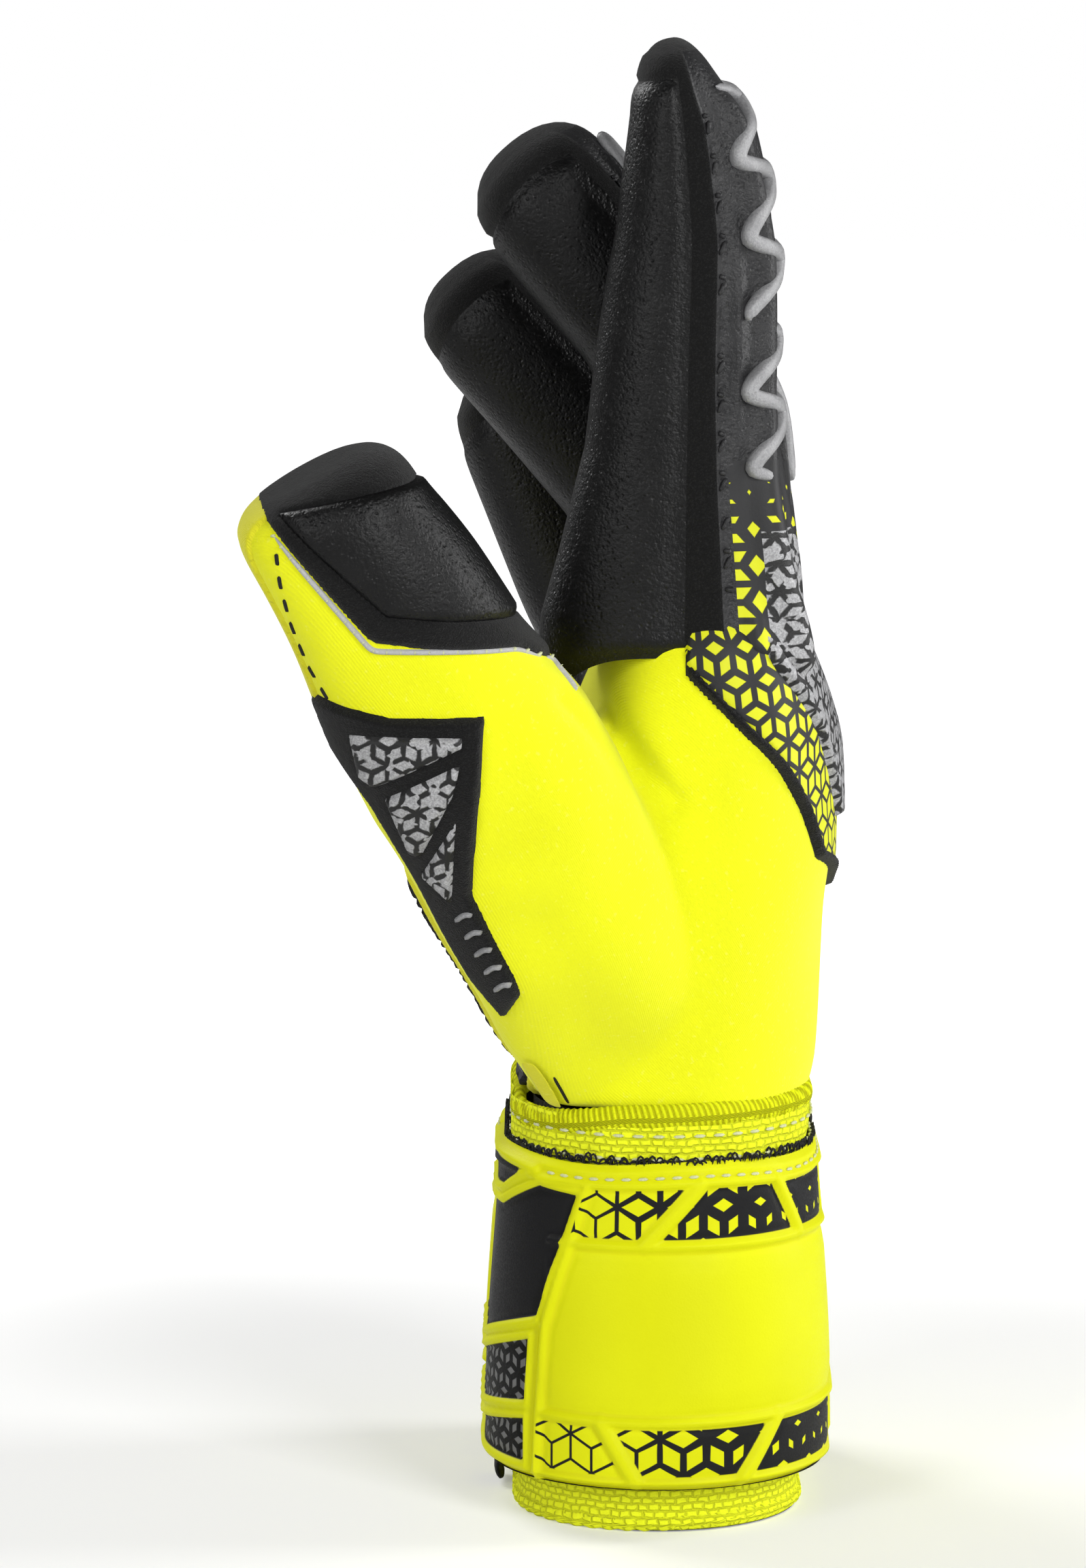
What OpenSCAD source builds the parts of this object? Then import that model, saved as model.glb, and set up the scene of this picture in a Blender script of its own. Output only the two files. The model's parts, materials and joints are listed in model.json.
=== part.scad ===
// Right-hand goalkeeper glove that stands on its cuff.
// Origin: middle of the cuff's open end. +Z to the fingertips, -X palm side, +X back, -Y thumb side.

/* [Fabric] */
// Wall of the hand shell: latex or knit with its lining
hand_wall = 3; // [2.6:0.1:3.2]
// Wall of a finger tube
finger_wall = 2; // [1.8:0.1:2.2]
// Gap between two pieces that are sewn edge to edge
seam = 0.3; // [0.2:0.05:0.4]
// Gap between pieces that move past each other
play = 0.6; // [0.5:0.05:0.7]

/* [Cuff] */
// Height of the elastic cuff
cuff_h = 77; // [75:1:77]
// Half depth of the cuff, palm to back
cuff_rx = 27; // [26:0.5:27.5]
// Half of the cuff's straight middle, across the hand
cuff_flat = 15; // [14:0.5:16]
// Wall of the elastic
cuff_wall = 2.4; // [2:0.1:2.6]

/* [Strap] */
// Height of the strap's lower edge
strap_z = 10; // [10:1:13]
// Height of the strap
strap_h = 64; // [58:1:64]
// Half depth of the closed strap, outer face
strap_rx = 32.5; // [32.3:0.1:33]
// Thickness of the padded strap
strap_t = 2.6; // [2.2:0.1:2.8]

/* [Hand] */
// Height of the wrist hinge
wrist_z = 78; // [78:0.5:79]
// How far the wrist hinge lies towards the back
wrist_x = 2; // [1:0.5:3]
// Half swing of the wrist in degrees, with clearance
wrist_cut = 13; // [12:0.5:14]
// Where the palm piece ends and the side gussets start, along X
palm_edge = -2; // [-3:0.5:0]
// Where the side gussets end and the back fabric starts, along X
back_edge = 15; // [14:0.5:16]

/* [Fingers] */
// Half depth of the finger tubes at the knuckle, palm to back
finger_hx = 17.2; // [17:0.1:17.4]
// Squareness of the finger's section: 2 is an ellipse
squareness = 2.4; // [2.2:0.1:2.6]
// Height of the raised figures on the finger backs
figure_h = 1.8; // [1.4:0.1:2]

/* [Thumb] */
// Half depth of the thumb at its base
thumb_hx = 17.5; // [17:0.1:17.8]
// Half width of the thumb at its base
thumb_hy = 19; // [18.6:0.1:19.2]

/* [Hidden] */
$fn = 48;
hand_ring = 32;          // corners of the hand's section
finger_ring = 24;        // corners of a finger's section
big = 200;

// Finger rows: name is the order index, middle, ring, little.
// knuckle point, half width, three lengths, three leans towards the palm,
// flex and reach back at the middle joint.
knuckle = [[5, -38.2, 174], [8, -12.4, 169], [8, 13, 159], [4, 37.2, 146]];
finger_hy = [12.5, 12.6, 12.4, 11.2];
depth_less = [0, 0, 0, 2.2];
// How far the palm's rim stays below each knuckle
rim_drop = [12, 7, 8, 14];
bone = [[40, 30, 24], [44, 27, 16], [40, 26, 13], [32, 20, 12]];
lean = [[0, -2, 5], [8, 27, 35], [22, 34, 38], [16, 20, 24]];
flex = [50, 35, 38, 45];
reach = [4, 14, 10, 4];

// Thumb frame: turn about Z, then lean sideways
thumb_turn = 129.3;
thumb_lean = -31.5;
thenar_lean = -40.5;
thumb_base = [-31, -54, 132];
thenar_len = 47;
thumb_len = 45;
thumb_tip_len = 25.5;
thumb_tip_hx = thumb_hx - finger_wall - play;
thumb_tip_hy = 15.5;
thumb_flex = 35;

function soft(c) = sign(c) * pow(abs(c), 2 / squareness);
function oblong(hx, hy) = [for (i = [0 : finger_ring - 1]) let (a = 360 * i / finger_ring)
    [hx * soft(cos(a)), hy * soft(sin(a))]];
function half_oblong(hx, hy) = [for (i = [0 : finger_ring / 2]) let (a = -90 + 360 * i / finger_ring)
    [max(hx * soft(cos(a)), 0), hy * soft(sin(a))]];

// ---- hand shell ----
// Centre, half depth and half width of the hand at a height
function hand_cx(z) = lookup(z, [[70, 2], [84, 3], [100, 5], [125, 7], [150, 7.5], [165, 7], [182, 6]]);
function hand_rx(z) = lookup(z, [[70, 26.5], [84, 26], [100, 25], [125, 25], [150, 24], [165, 22.5], [182, 21]]);
function hand_ry(z) = lookup(z, [[70, 41], [84, 41], [100, 44.5], [125, 50], [150, 53.6], [165, 54.2], [182, 54.2]]);
function hand_pow(c) = sign(c) * pow(abs(c), 2 / 2.6);
hand_levels = [70, 84, 100, 112, 125, 138, 150, 165, 182];

// The hand's outer form, grown by g
module hand_form(g) {
    n = hand_ring;
    m = len(hand_levels);
    pts = [for (z = hand_levels) for (i = [0 : n - 1]) let (a = 360 * i / n)
        [hand_cx(z) + (hand_rx(z) + g) * hand_pow(cos(a)), (hand_ry(z) + g) * hand_pow(sin(a)), z]];
    sides = [for (k = [0 : m - 2]) for (i = [0 : n - 1])
        [k * n + i, (k + 1) * n + i, (k + 1) * n + (i + 1) % n, k * n + (i + 1) % n]];
    ends = [[for (i = [0 : n - 1]) i], [for (i = [n - 1 : -1 : 0]) (m - 1) * n + i]];
    polyhedron(pts, concat(sides, ends));
}

// Layer between two growths of the hand form
module hand_layer(inner, outer) {
    difference() {
        hand_form(outer);
        hand_form(inner);
        translate([-big / 2, -big / 2, 0]) cube([big, big, 70.5]);
        translate([-big / 2, -big / 2, 181.5]) cube([big, big, 30]);
    }
}

// Side view outline (X, Z) as a slab from y0 to y1
module slab(points, y0, y1) {
    translate([0, y1, 0]) rotate([90, 0, 0]) linear_extrude(y1 - y0) polygon(points);
}

// Room for the knuckles and for the fingers' swing
module finger_room() {
    for (f = [0 : 3]) let (k = knuckle[f], hx = finger_hx - depth_less[f], hy = finger_hy[f]) {
        for (step = [[hx + play, 0.75 * hy], [0.75 * hx + play, hy + play / 2]])
            translate([k[0], k[1] + step[1], k[2]]) rotate([90, 0, 0]) cylinder(r = step[0], h = 2 * step[1]);
        translate([0, 0, k[2]]) slab([[-big, -rim_drop[f]], [k[0], -rim_drop[f]], [k[0], -1],
                [big, -1], [big, 100], [-big, 100]],
            f == 0 ? -big / 2 : (knuckle[f - 1][1] + k[1]) / 2 - seam,
            f == 3 ? big / 2 : (knuckle[f + 1][1] + k[1]) / 2 + seam);
    }
}

// Everything above the wrist's bevelled rim
module above_wrist() {
    rise = big * tan(wrist_cut);
    translate([wrist_x, 0, wrist_z + seam])
        slab([[0, 0], [big, rise], [big, 300], [-big, 300], [-big, rise]], -big / 2, big / 2);
}

// A stretch of hand shell between two X planes
module hand_panel(x0, x1, y0, y1) {
    difference() {
        intersection() {
            hand_layer(-hand_wall, 0);
            translate([x0, y0, 60]) cube([x1 - x0, y1 - y0, 140]);
            above_wrist();
        }
        finger_room();
        thenar_frame() thenar_solid(seam);
    }
}

// ---- thumb ----
module thumb_frame() {
    translate(thumb_base) rotate([0, 0, thumb_turn]) rotate([thumb_lean, 0, 0]) children();
}
module thenar_frame() {
    translate(thumb_base) rotate([0, 0, thumb_turn]) rotate([thenar_lean, 0, 0]) children();
}
thenar_hx = thumb_hx + play + 2.5;
thenar_hy = thumb_hy + play + 2.5;
module thenar_solid(g) {
    translate([0, 0, -thenar_len]) linear_extrude(thenar_len + 30) polygon(oblong(thenar_hx + g, thenar_hy + g));
}

// ---- finger segments ----
// Local frame: hinge at the origin, +Z along the bone, -X palm side.
// side -1 is the palm-side part, 1 the back part, 0 both.
split_x = 2;
module side_cut(side) {
    if (side != 0) translate([side < 0 ? split_x - seam / 2 : split_x + seam / 2 - 60, -40, -60])
        cube([60, 80, 180]);
}
module tube(hx, hy, wall, z0, z1, side) {
    translate([0, 0, z0]) linear_extrude(z1 - z0) difference() {
        polygon(oblong(hx, hy));
        polygon(oblong(hx - wall, hy - wall));
        if (side != 0) translate([side < 0 ? split_x - seam / 2 : split_x + seam / 2 - 60, -40])
            square([60, 80]);
    }
}
// Half a barrel shell about the hinge axis; up is 1 for a fingertip, -1 for a hinge end
module half_barrel(hx, hy, wall, up, side) {
    difference() {
        rotate([up * 90, 0, 0]) rotate_extrude(angle = 180) polygon(half_oblong(hx, hy));
        rotate([90, 0, 0]) rotate_extrude() polygon(half_oblong(hx - wall, hy - wall));
        side_cut(side);
    }
}
// Hinge end of a tube: a half barrel with a way through for the finger
module hinge_barrel(hx, hy, side) {
    difference() {
        half_barrel(hx, hy, finger_wall, -1, side);
        translate([0, 0, -hx - 5]) linear_extrude(hx + 4) polygon(oblong(hx - 4, hy - 2.6));
    }
}
// Keeps what lies above (up 1) or below (up -1) a hinge's bevelled faces
module hinge_side(up, palm_cut, back_cut) {
    reach_x = 40;
    slab([[0, 0], [-reach_x, up * reach_x * tan(palm_cut)], [-reach_x, up * 120],
        [reach_x, up * 120], [reach_x, up * reach_x * tan(back_cut)]], -40, 40);
}
// One phalanx. lower: [palm_cut, back_cut] or [] at the knuckle; upper: the same or [] at the tip.
module phalanx(hx, hy, length, lower, upper, side) {
    neck_hy = hy - finger_wall - 0.4;
    neck_h = len(lower) == 0 ? 0 : hx * tan(lower[0]) + 3;
    intersection() {
        union() {
            tube(hx, hy, finger_wall, 0, length + (len(upper) == 0 ? 0 : 6), side);
            if (len(lower) > 0) tube(hx - 0.6, hy - 0.6, 3, neck_h - 3, neck_h, side);
        }
        if (len(lower) > 0) hinge_side(1, lower[0], lower[1]);
        if (len(upper) > 0) translate([0, 0, length]) hinge_side(-1, upper[0], upper[1]);
    }
    if (len(lower) > 0) tube(hx, neck_hy, finger_wall, 0, neck_h - 1, side);
    hinge_barrel(hx, len(lower) > 0 ? neck_hy : hy, side);
    if (len(upper) == 0) translate([0, 0, length]) half_barrel(hx, hy, finger_wall, 1, side);
}

function bend(f, j) = lean[f][j] - lean[f][j - 1];
// Bevels of a finger's middle (1) or end (2) joint
function palm_bevel(f, j) = (flex[f] / j + 2 + bend(f, j)) / 2;
function back_bevel(f, j) = (reach[f] / j + 1 - bend(f, j)) / 2;
function bevels(f, j) = [palm_bevel(f, j), back_bevel(f, j)];
function depth_at(f, j) = finger_hx - depth_less[f] - j * (finger_wall + play);
function along(a) = [-sin(a), 0, cos(a)];
function joint_at(f, j) = j == 0 ? knuckle[f]
    : joint_at(f, j - 1) + bone[f][j - 1] * along(lean[f][j - 1]);

module finger_frame(f, j) {
    translate(joint_at(f, j)) rotate([0, -lean[f][j], 0]) children();
}
module finger_shell(f, j, side) {
    phalanx(depth_at(f, j), finger_hy[f], bone[f][j],
        j == 0 ? [] : bevels(f, j), j == 2 ? [] : bevels(f, j + 1), side);
}
module latex_roll(f, j) {
    color([0.13, 0.13, 0.13]) finger_frame(f, j) finger_shell(f, j, -1);
}
// Back of a phalanx, with two ridges and a raised chevron
module padded_back(f, j) {
    hx = depth_at(f, j);
    mid = j == 0 ? bone[f][j] * 0.5 : bone[f][j] * 0.55;
    color([0.24, 0.24, 0.25]) finger_frame(f, j) {
        finger_shell(f, j, 1);
        for (s = [-1, 1]) translate([hx - 1, s * 4.6, mid]) rotate([s * 28, 0, 0])
            translate([0, -1.7, -4.5]) cube([1 + figure_h, 3.4, 9]);
    }
}

// ---- cuff pieces ----
// Stadium outline: half depth r, straight middle of half length cuff_flat across the hand
module stadium(r) {
    for (s = [-1, 1]) translate([0, s * cuff_flat]) circle(r);
    translate([-r, -cuff_flat]) square([2 * r, 2 * cuff_flat]);
}
module stadium_ring(outer, inner, z0, z1) {
    translate([0, 0, z0]) linear_extrude(z1 - z0) difference() {
        stadium(outer);
        stadium(inner);
    }
}
module cuff_elastic() {
    color([0.84, 0.87, 0.06]) {
        stadium_ring(cuff_rx, cuff_rx - cuff_wall, 0, cuff_h);
        for (z = [0, cuff_h - 3.6]) stadium_ring(cuff_rx + 0.5, cuff_rx - 1, z, z + 3.6);
    }
}
module cuff_lining() {
    color([0.08, 0.08, 0.08]) stadium_ring(cuff_rx - cuff_wall - seam, cuff_rx - cuff_wall - 1.5, 1, cuff_h - 1);
}

// ---- strap pieces: laid round the elastic with the gap open towards the palm side ----
strap_in = strap_rx - strap_t;
module strap_ring(z0, z1) { stadium_ring(strap_rx, strap_in, z0, z1); }
// Raised edge bands of the strap
module strap_body() {
    strap_ring(strap_z, strap_z + strap_h);
    for (z = [strap_z + 9, strap_z + strap_h - 21]) stadium_ring(strap_rx + 0.7, strap_rx - 1, z, z + 1.6);
}
module strap_window(x0, x1, y0, y1) {
    intersection() {
        strap_body();
        translate([x0, y0, 0]) cube([x1 - x0, y1 - y0, 100]);
    }
}
strap_gap = 0.2;
module strap_anchor() {
    color([0.87, 0.88, 0.04]) difference() {
        union() {
            strap_window(-big, big, cuff_flat - 6, big);
            strap_window(0, big, -cuff_flat + strap_gap, cuff_flat);
        }
        translate([-big, -big, 0]) cube([big + 0.01, big + cuff_flat - 5, 100]);
    }
}
module strap_side_b() {
    color([0.87, 0.88, 0.04]) strap_window(strap_gap, big, -big, -cuff_flat - strap_gap);
}
module strap_side_a() {
    color([0.87, 0.88, 0.04]) strap_window(-big, -strap_gap, -big, -cuff_flat - strap_gap);
}
module strap_end() {
    color([0.87, 0.88, 0.04]) strap_window(-big, 0, -cuff_flat + strap_gap, cuff_flat - 6);
}
module hook_patch() {
    color([0.1, 0.1, 0.1]) translate([-strap_in + seam, -cuff_flat + 3, strap_z + 6])
        cube([0.8, 2 * cuff_flat - 12, strap_h - 12]);
}
module loop_patch() {
    color([0.12, 0.12, 0.12]) translate([-cuff_rx - 1.4, -cuff_flat + 1, strap_z + 4])
        cube([1.2, 2 * cuff_flat - 6, strap_h - 8]);
}
module pull_tab() {
    color([0.07, 0.07, 0.07]) translate([-cuff_rx - 1.9, -6, 1.5]) cube([1.2, 12, 7.2]);
}

// ---- hand pieces ----
module palm_latex() {
    color([0.14, 0.14, 0.14]) hand_panel(-60, palm_edge - seam / 2, -70, 70);
}
module thumb_side_gusset() {
    color([0.96, 0.98, 0.15]) hand_panel(palm_edge + seam / 2, back_edge - seam / 2, -70, 0);
}
module little_side_gusset() {
    color([0.96, 0.98, 0.15]) hand_panel(palm_edge + seam / 2, back_edge - seam / 2, 0, 70);
}
module back_fabric() {
    color([0.9, 0.92, 0.1]) hand_panel(back_edge + seam / 2, 60, -70, 70);
}
// Embossed panel that lies on the back fabric
module backhand_panel() {
    color([0.24, 0.24, 0.24]) difference() {
        intersection() {
            hand_layer(seam, 2.2);
            translate([20, -40, 100]) cube([30, 76, 90]);
            slab([[-60, 160], [28, 140], [60, 118], [60, 200], [-60, 200]], -60, 60);
        }
        finger_room();
    }
}
// Raised lozenges on the backhand panel
module backhand_pads() {
    color([0.8, 0.8, 0.8]) intersection() {
        hand_layer(2.4, 3.8);
        for (y = [-27, -9, 9, 26]) translate([20, y, 153 - 0.22 * (y + 27)])
            rotate([45, 0, 0]) translate([0, -4, -4]) cube([30, 8, 8]);
    }
}
// Rolled piping along the thumb-side edge of the backhand
module backhand_piping() {
    color([0.07, 0.07, 0.07]) difference() {
        intersection() {
            hand_layer(seam, 2.4);
            slab([[2, 163.5], [9, 157], [17, 150], [24, 141], [28.5, 131], [30, 121], [60, 121],
                [33, 134], [27.5, 144], [20, 153.4], [12, 160.5], [4, 167]], -60, 0);
            translate([0, -60, 100]) cube([19.7, 60, 90]);
        }
        finger_room();
    }
}
module wrist_binding() {
    color([0.9, 0.92, 0.1]) difference() {
        intersection() {
            hand_layer(seam, 1.8);
            above_wrist();
        }
        translate([0, 0, 4]) above_wrist();
    }
}
// Soft lining that bridges the wrist: a barrel about the wrist hinge
module wrist_lining() {
    wr = cuff_rx - cuff_wall - 1.5 - play - 0.4;
    wy = cuff_rx + cuff_flat - cuff_wall - 3;
    color([0.08, 0.08, 0.08]) translate([wrist_x, 0, wrist_z]) {
        difference() {
            rotate([-90, 0, 0]) rotate_extrude(angle = 180) polygon(half_oblong(wr - 2, wy - 2));
            rotate([90, 0, 0]) rotate_extrude() polygon(half_oblong(wr - 3.6, wy - 3.6));
            translate([-big / 2, -big / 2, -60]) cube([big, big, 60 - 5]);
        }
        tube(wr - 2, wy - 2, 1.6, 0, 8, 0);
    }
}

// ---- thumb pieces ----
module thumb_gusset() {
    color([0.92, 0.93, 0.05]) difference() {
        thenar_frame() intersection() {
            tube(thenar_hx, thenar_hy, 2.5, -thenar_len, 14, 0);
            hinge_side(-1, 24, 4);
        }
        hand_form(seam);
    }
}
// Latex guard over the outer side of the thumb's root
module thumb_patch() {
    color([0.1, 0.1, 0.1]) difference() {
        thenar_frame() intersection() {
            tube(thenar_hx + seam + 1.8, thenar_hy + seam + 1.8, 1.8, -thenar_len + 6, 12, 0);
            translate([-14, 0, -60]) cube([30, 40, 80]);
            hinge_side(-1, 24, 12);
        }
        hand_form(seam * 2);
    }
}
module thumb_pads() {
    face = thenar_hy + seam + 1.8 + 0.3;
    color([0.5, 0.5, 0.5]) thenar_frame() {
        for (pad = [[0, -8, 20, 9], [1, -21, 15, 11], [1, -34, 9, 10]])
            translate([pad[0] - pad[2] / 2, face, pad[1] - pad[3] / 2]) cube([pad[2], 1.4, pad[3]]);
    }
}
module thumb_shell(j, side) {
    if (j == 0) phalanx(thumb_hx, thumb_hy, thumb_len, [], [22, 4], side);
    else {
        tube(thumb_tip_hx, thumb_tip_hy, finger_wall, 0, thumb_tip_len, side);
        hinge_barrel(thumb_tip_hx, thumb_tip_hy, side);
        translate([0, 0, thumb_tip_len]) half_barrel(thumb_tip_hx, thumb_tip_hy, finger_wall, 1, side);
    }
}
module thumb_piece(j, side, colour) {
    color(colour) thumb_frame() translate([0, 0, j * thumb_len]) thumb_shell(j, side);
}
module thumb_proximal_latex() { thumb_piece(0, -1, [0.13, 0.13, 0.13]); }
module thumb_proximal_back() { thumb_piece(0, 1, [0.95, 0.96, 0.1]); }
module thumb_tip_latex() { thumb_piece(1, -1, [0.13, 0.13, 0.13]); }
module thumb_tip_back() { thumb_piece(1, 1, [0.95, 0.96, 0.1]); }

// ---- finger pieces ----
module index_proximal_latex() { latex_roll(0, 0); }
module index_proximal_back() { padded_back(0, 0); }
module index_middle_latex() { latex_roll(0, 1); }
module index_middle_back() { padded_back(0, 1); }
module index_tip_latex() { latex_roll(0, 2); }
module index_tip_back() { padded_back(0, 2); }
module middle_proximal_latex() { latex_roll(1, 0); }
module middle_proximal_back() { padded_back(1, 0); }
module middle_middle_latex() { latex_roll(1, 1); }
module middle_middle_back() { padded_back(1, 1); }
module middle_tip_latex() { latex_roll(1, 2); }
module middle_tip_back() { padded_back(1, 2); }
module ring_proximal_latex() { latex_roll(2, 0); }
module ring_proximal_back() { padded_back(2, 0); }
module ring_middle_latex() { latex_roll(2, 1); }
module ring_middle_back() { padded_back(2, 1); }
module ring_tip_latex() { latex_roll(2, 2); }
module ring_tip_back() { padded_back(2, 2); }
module little_proximal_latex() { latex_roll(3, 0); }
module little_proximal_back() { padded_back(3, 0); }
module little_middle_latex() { latex_roll(3, 1); }
module little_middle_back() { padded_back(3, 1); }
module little_tip_latex() { latex_roll(3, 2); }
module little_tip_back() { padded_back(3, 2); }

cuff_elastic();
cuff_lining();
strap_anchor();
strap_side_b();
strap_side_a();
strap_end();
hook_patch();
loop_patch();
pull_tab();
palm_latex();
thumb_side_gusset();
little_side_gusset();
back_fabric();
backhand_panel();
backhand_pads();
backhand_piping();
wrist_binding();
wrist_lining();
thumb_gusset();
thumb_patch();
thumb_pads();
thumb_proximal_latex();
thumb_proximal_back();
thumb_tip_latex();
thumb_tip_back();
index_proximal_latex();
index_proximal_back();
index_middle_latex();
index_middle_back();
index_tip_latex();
index_tip_back();
middle_proximal_latex();
middle_proximal_back();
middle_middle_latex();
middle_middle_back();
middle_tip_latex();
middle_tip_back();
ring_proximal_latex();
ring_proximal_back();
ring_middle_latex();
ring_middle_back();
ring_tip_latex();
ring_tip_back();
little_proximal_latex();
little_proximal_back();
little_middle_latex();
little_middle_back();
little_tip_latex();
little_tip_back();
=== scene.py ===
"""Right-hand goalkeeper glove that stands on its cuff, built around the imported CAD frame.

Shapes are worked out in millimetres and turned into metres when a piece is made. Every fabric surface is a
dense mesh with its rest position kept as an attribute, so weave and print stay put when a joint moves.
"""
import json
import math

import bpy
import numpy as np
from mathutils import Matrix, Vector
from mathutils.bvhtree import BVHTree


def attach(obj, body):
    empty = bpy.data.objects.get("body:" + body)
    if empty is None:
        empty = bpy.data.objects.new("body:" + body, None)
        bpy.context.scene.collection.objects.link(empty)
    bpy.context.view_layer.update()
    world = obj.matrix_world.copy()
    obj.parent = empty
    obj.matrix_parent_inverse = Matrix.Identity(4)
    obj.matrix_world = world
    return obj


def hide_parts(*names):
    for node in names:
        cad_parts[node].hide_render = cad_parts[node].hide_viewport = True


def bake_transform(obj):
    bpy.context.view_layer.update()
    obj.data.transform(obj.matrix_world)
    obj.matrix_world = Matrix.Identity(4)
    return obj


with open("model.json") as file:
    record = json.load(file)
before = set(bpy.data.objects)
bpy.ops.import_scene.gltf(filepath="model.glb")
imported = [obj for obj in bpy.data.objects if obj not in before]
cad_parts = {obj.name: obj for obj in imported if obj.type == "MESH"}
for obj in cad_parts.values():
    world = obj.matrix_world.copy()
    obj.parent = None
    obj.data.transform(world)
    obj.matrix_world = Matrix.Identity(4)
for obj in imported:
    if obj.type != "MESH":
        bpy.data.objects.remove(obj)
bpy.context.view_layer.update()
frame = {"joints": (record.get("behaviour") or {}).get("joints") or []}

MM = 0.001
HINGE = {j["name"]: np.array(j["pos_m"]) * 1000 for j in frame["joints"]}
scene = bpy.context.scene


# ------------------------------------------------------------------ numbers and curves
def curve(x, points):
    """Straight-line table: points is [(x, value), ...]."""
    return np.interp(x, [p[0] for p in points], [p[1] for p in points])


def smooth(x):
    """Smooth step from 0 at x=0 to 1 at x=1."""
    x = np.clip(x, 0, 1)
    return x * x * (3 - 2 * x)


def soft_power(c, power):
    """Signed superellipse term."""
    return np.sign(c) * np.abs(c) ** (2 / power)


def unit(v):
    """Vectors scaled to length one."""
    return v / np.maximum(np.linalg.norm(v, axis=-1, keepdims=True), 1e-9)


def arc_length(points):
    """Distance travelled along a path up to each of its points."""
    return np.concatenate([[0], np.cumsum(np.linalg.norm(np.diff(points, axis=0), axis=1))])


def sample(at, along, points):
    """Every column of points, read at positions along them."""
    return np.stack([np.interp(at, along, column) for column in np.asarray(points, float).T], -1)


def averaged(values, reach, **pad):
    """Columns smoothed over a bell-shaped window of reach rows to either side."""
    kernel = np.hanning(2 * reach + 1)
    kernel = kernel / kernel.sum()
    padded = np.pad(values, ((reach, reach), (0, 0)), **(pad or {"mode": "edge"}))
    return np.stack([np.convolve(column, kernel, "valid") for column in padded.T], -1)


def polygon_distance(points, polygon):
    """Signed distance from 2-D points to a closed polygon, negative inside."""
    p = np.asarray(points, float)
    poly = np.asarray(polygon, float)
    best = np.full(len(p), 1e9)
    inside = np.zeros(len(p), bool)
    for a, b in zip(poly, np.roll(poly, -1, axis=0)):
        edge = b - a
        t = np.clip(((p - a) @ edge) / max(edge @ edge, 1e-9), 0, 1)
        best = np.minimum(best, np.linalg.norm(p - a - t[:, None] * edge, axis=1))
        crosses = (a[1] > p[:, 1]) != (b[1] > p[:, 1])
        with np.errstate(divide="ignore", invalid="ignore"):
            x_cross = a[0] + (p[:, 1] - a[1]) * edge[0] / np.where(edge[1] == 0, 1e-9, edge[1])
        inside ^= crosses & (p[:, 0] < x_cross)
    return np.where(inside, -best, best)


def line_distance(points, line):
    """Distance from 2-D points to an open polyline."""
    p = np.asarray(points, float)
    best = np.full(len(p), 1e9)
    for a, b in zip(np.asarray(line, float)[:-1], np.asarray(line, float)[1:]):
        edge = b - a
        t = np.clip(((p - a) @ edge) / max(edge @ edge, 1e-9), 0, 1)
        best = np.minimum(best, np.linalg.norm(p - a - t[:, None] * edge, axis=1))
    return best


# ------------------------------------------------------------------ mesh making
def grid_faces(rows, cols, closed):
    """Quads of a rows x cols grid of points, joined round when closed."""
    r = np.arange(rows - 1)[:, None]
    c = np.arange(cols if closed else cols - 1)[None, :]
    n = (c + 1) % cols
    quads = np.stack([r * cols + c, r * cols + n, (r + 1) * cols + n, (r + 1) * cols + c], axis=-1)
    return quads.reshape(-1, 4)


def compact(quads):
    """Indices of the points that quads use, and the quads counted in those points."""
    used, local = np.unique(quads, return_inverse=True)
    return used, local.reshape(-1, 4)


def vertex_normals(co, quads):
    """Smooth outward direction at every point."""
    a, b, c, d = (co[quads[:, k]] for k in range(4))
    face = np.cross(c - a, d - b)
    out = np.zeros_like(co)
    for k in range(4):
        np.add.at(out, quads[:, k], face)
    return unit(out)


def make_piece(name, co, quads, materials, face_material=None, attributes=None, normals=None):
    """A mesh object in metres from millimetre points and quads (a quad may repeat its last point)."""
    mesh = bpy.data.meshes.new(name)
    faces = [list(dict.fromkeys(q)) for q in quads.tolist()]
    keep = [i for i, f in enumerate(faces) if len(f) > 2]
    mesh.from_pydata((co * MM).tolist(), [], [faces[i] for i in keep])
    for material in materials:
        mesh.materials.append(material)
    if face_material is not None:
        mesh.polygons.foreach_set("material_index", np.asarray(face_material)[keep].astype(np.int32))
    mesh.polygons.foreach_set("use_smooth", np.ones(len(keep), bool))
    rest = mesh.attributes.new("rest", "FLOAT_VECTOR", "POINT")
    rest.data.foreach_set("vector", co.astype(np.float32).ravel())
    for key, values in (attributes or {}).items():
        values = np.asarray(values, np.float32)
        kind = "FLOAT_VECTOR" if values.ndim == 2 else "FLOAT"
        data = mesh.attributes.new(key, kind, "POINT").data
        data.foreach_set("vector" if values.ndim == 2 else "value", values.ravel())
    mesh.update()
    if normals is not None:
        mesh.normals_split_custom_set_from_vertices(normals.tolist())
    obj = bpy.data.objects.new(name, mesh)
    scene.collection.objects.link(obj)
    return obj


def make_parts(name, co, quads, labels, materials, place, attributes=None, face_material=None,
               normals=None, numbered=False):
    """Splits one smooth surface into pieces by face label, keeps its normals, and places each piece."""
    if normals is None:
        normals = vertex_normals(co, quads)
    found = sorted(set(labels.tolist()))
    made = {}
    for label in found:
        picked = labels == label
        used, local = compact(quads[picked])
        piece = make_piece(
            f"{name}_{label}" if numbered or len(found) > 1 else name,
            co[used],
            local,
            materials,
            None if face_material is None else face_material[picked],
            {k: np.asarray(v)[used] for k, v in (attributes or {}).items()},
            normals[used],
        )
        place[label](piece)
        made[label] = piece
    return made


def blend_between():
    """A placing function: bakes the piece's transform into its points and leaves it on no body."""
    return lambda piece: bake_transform(piece)


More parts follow.
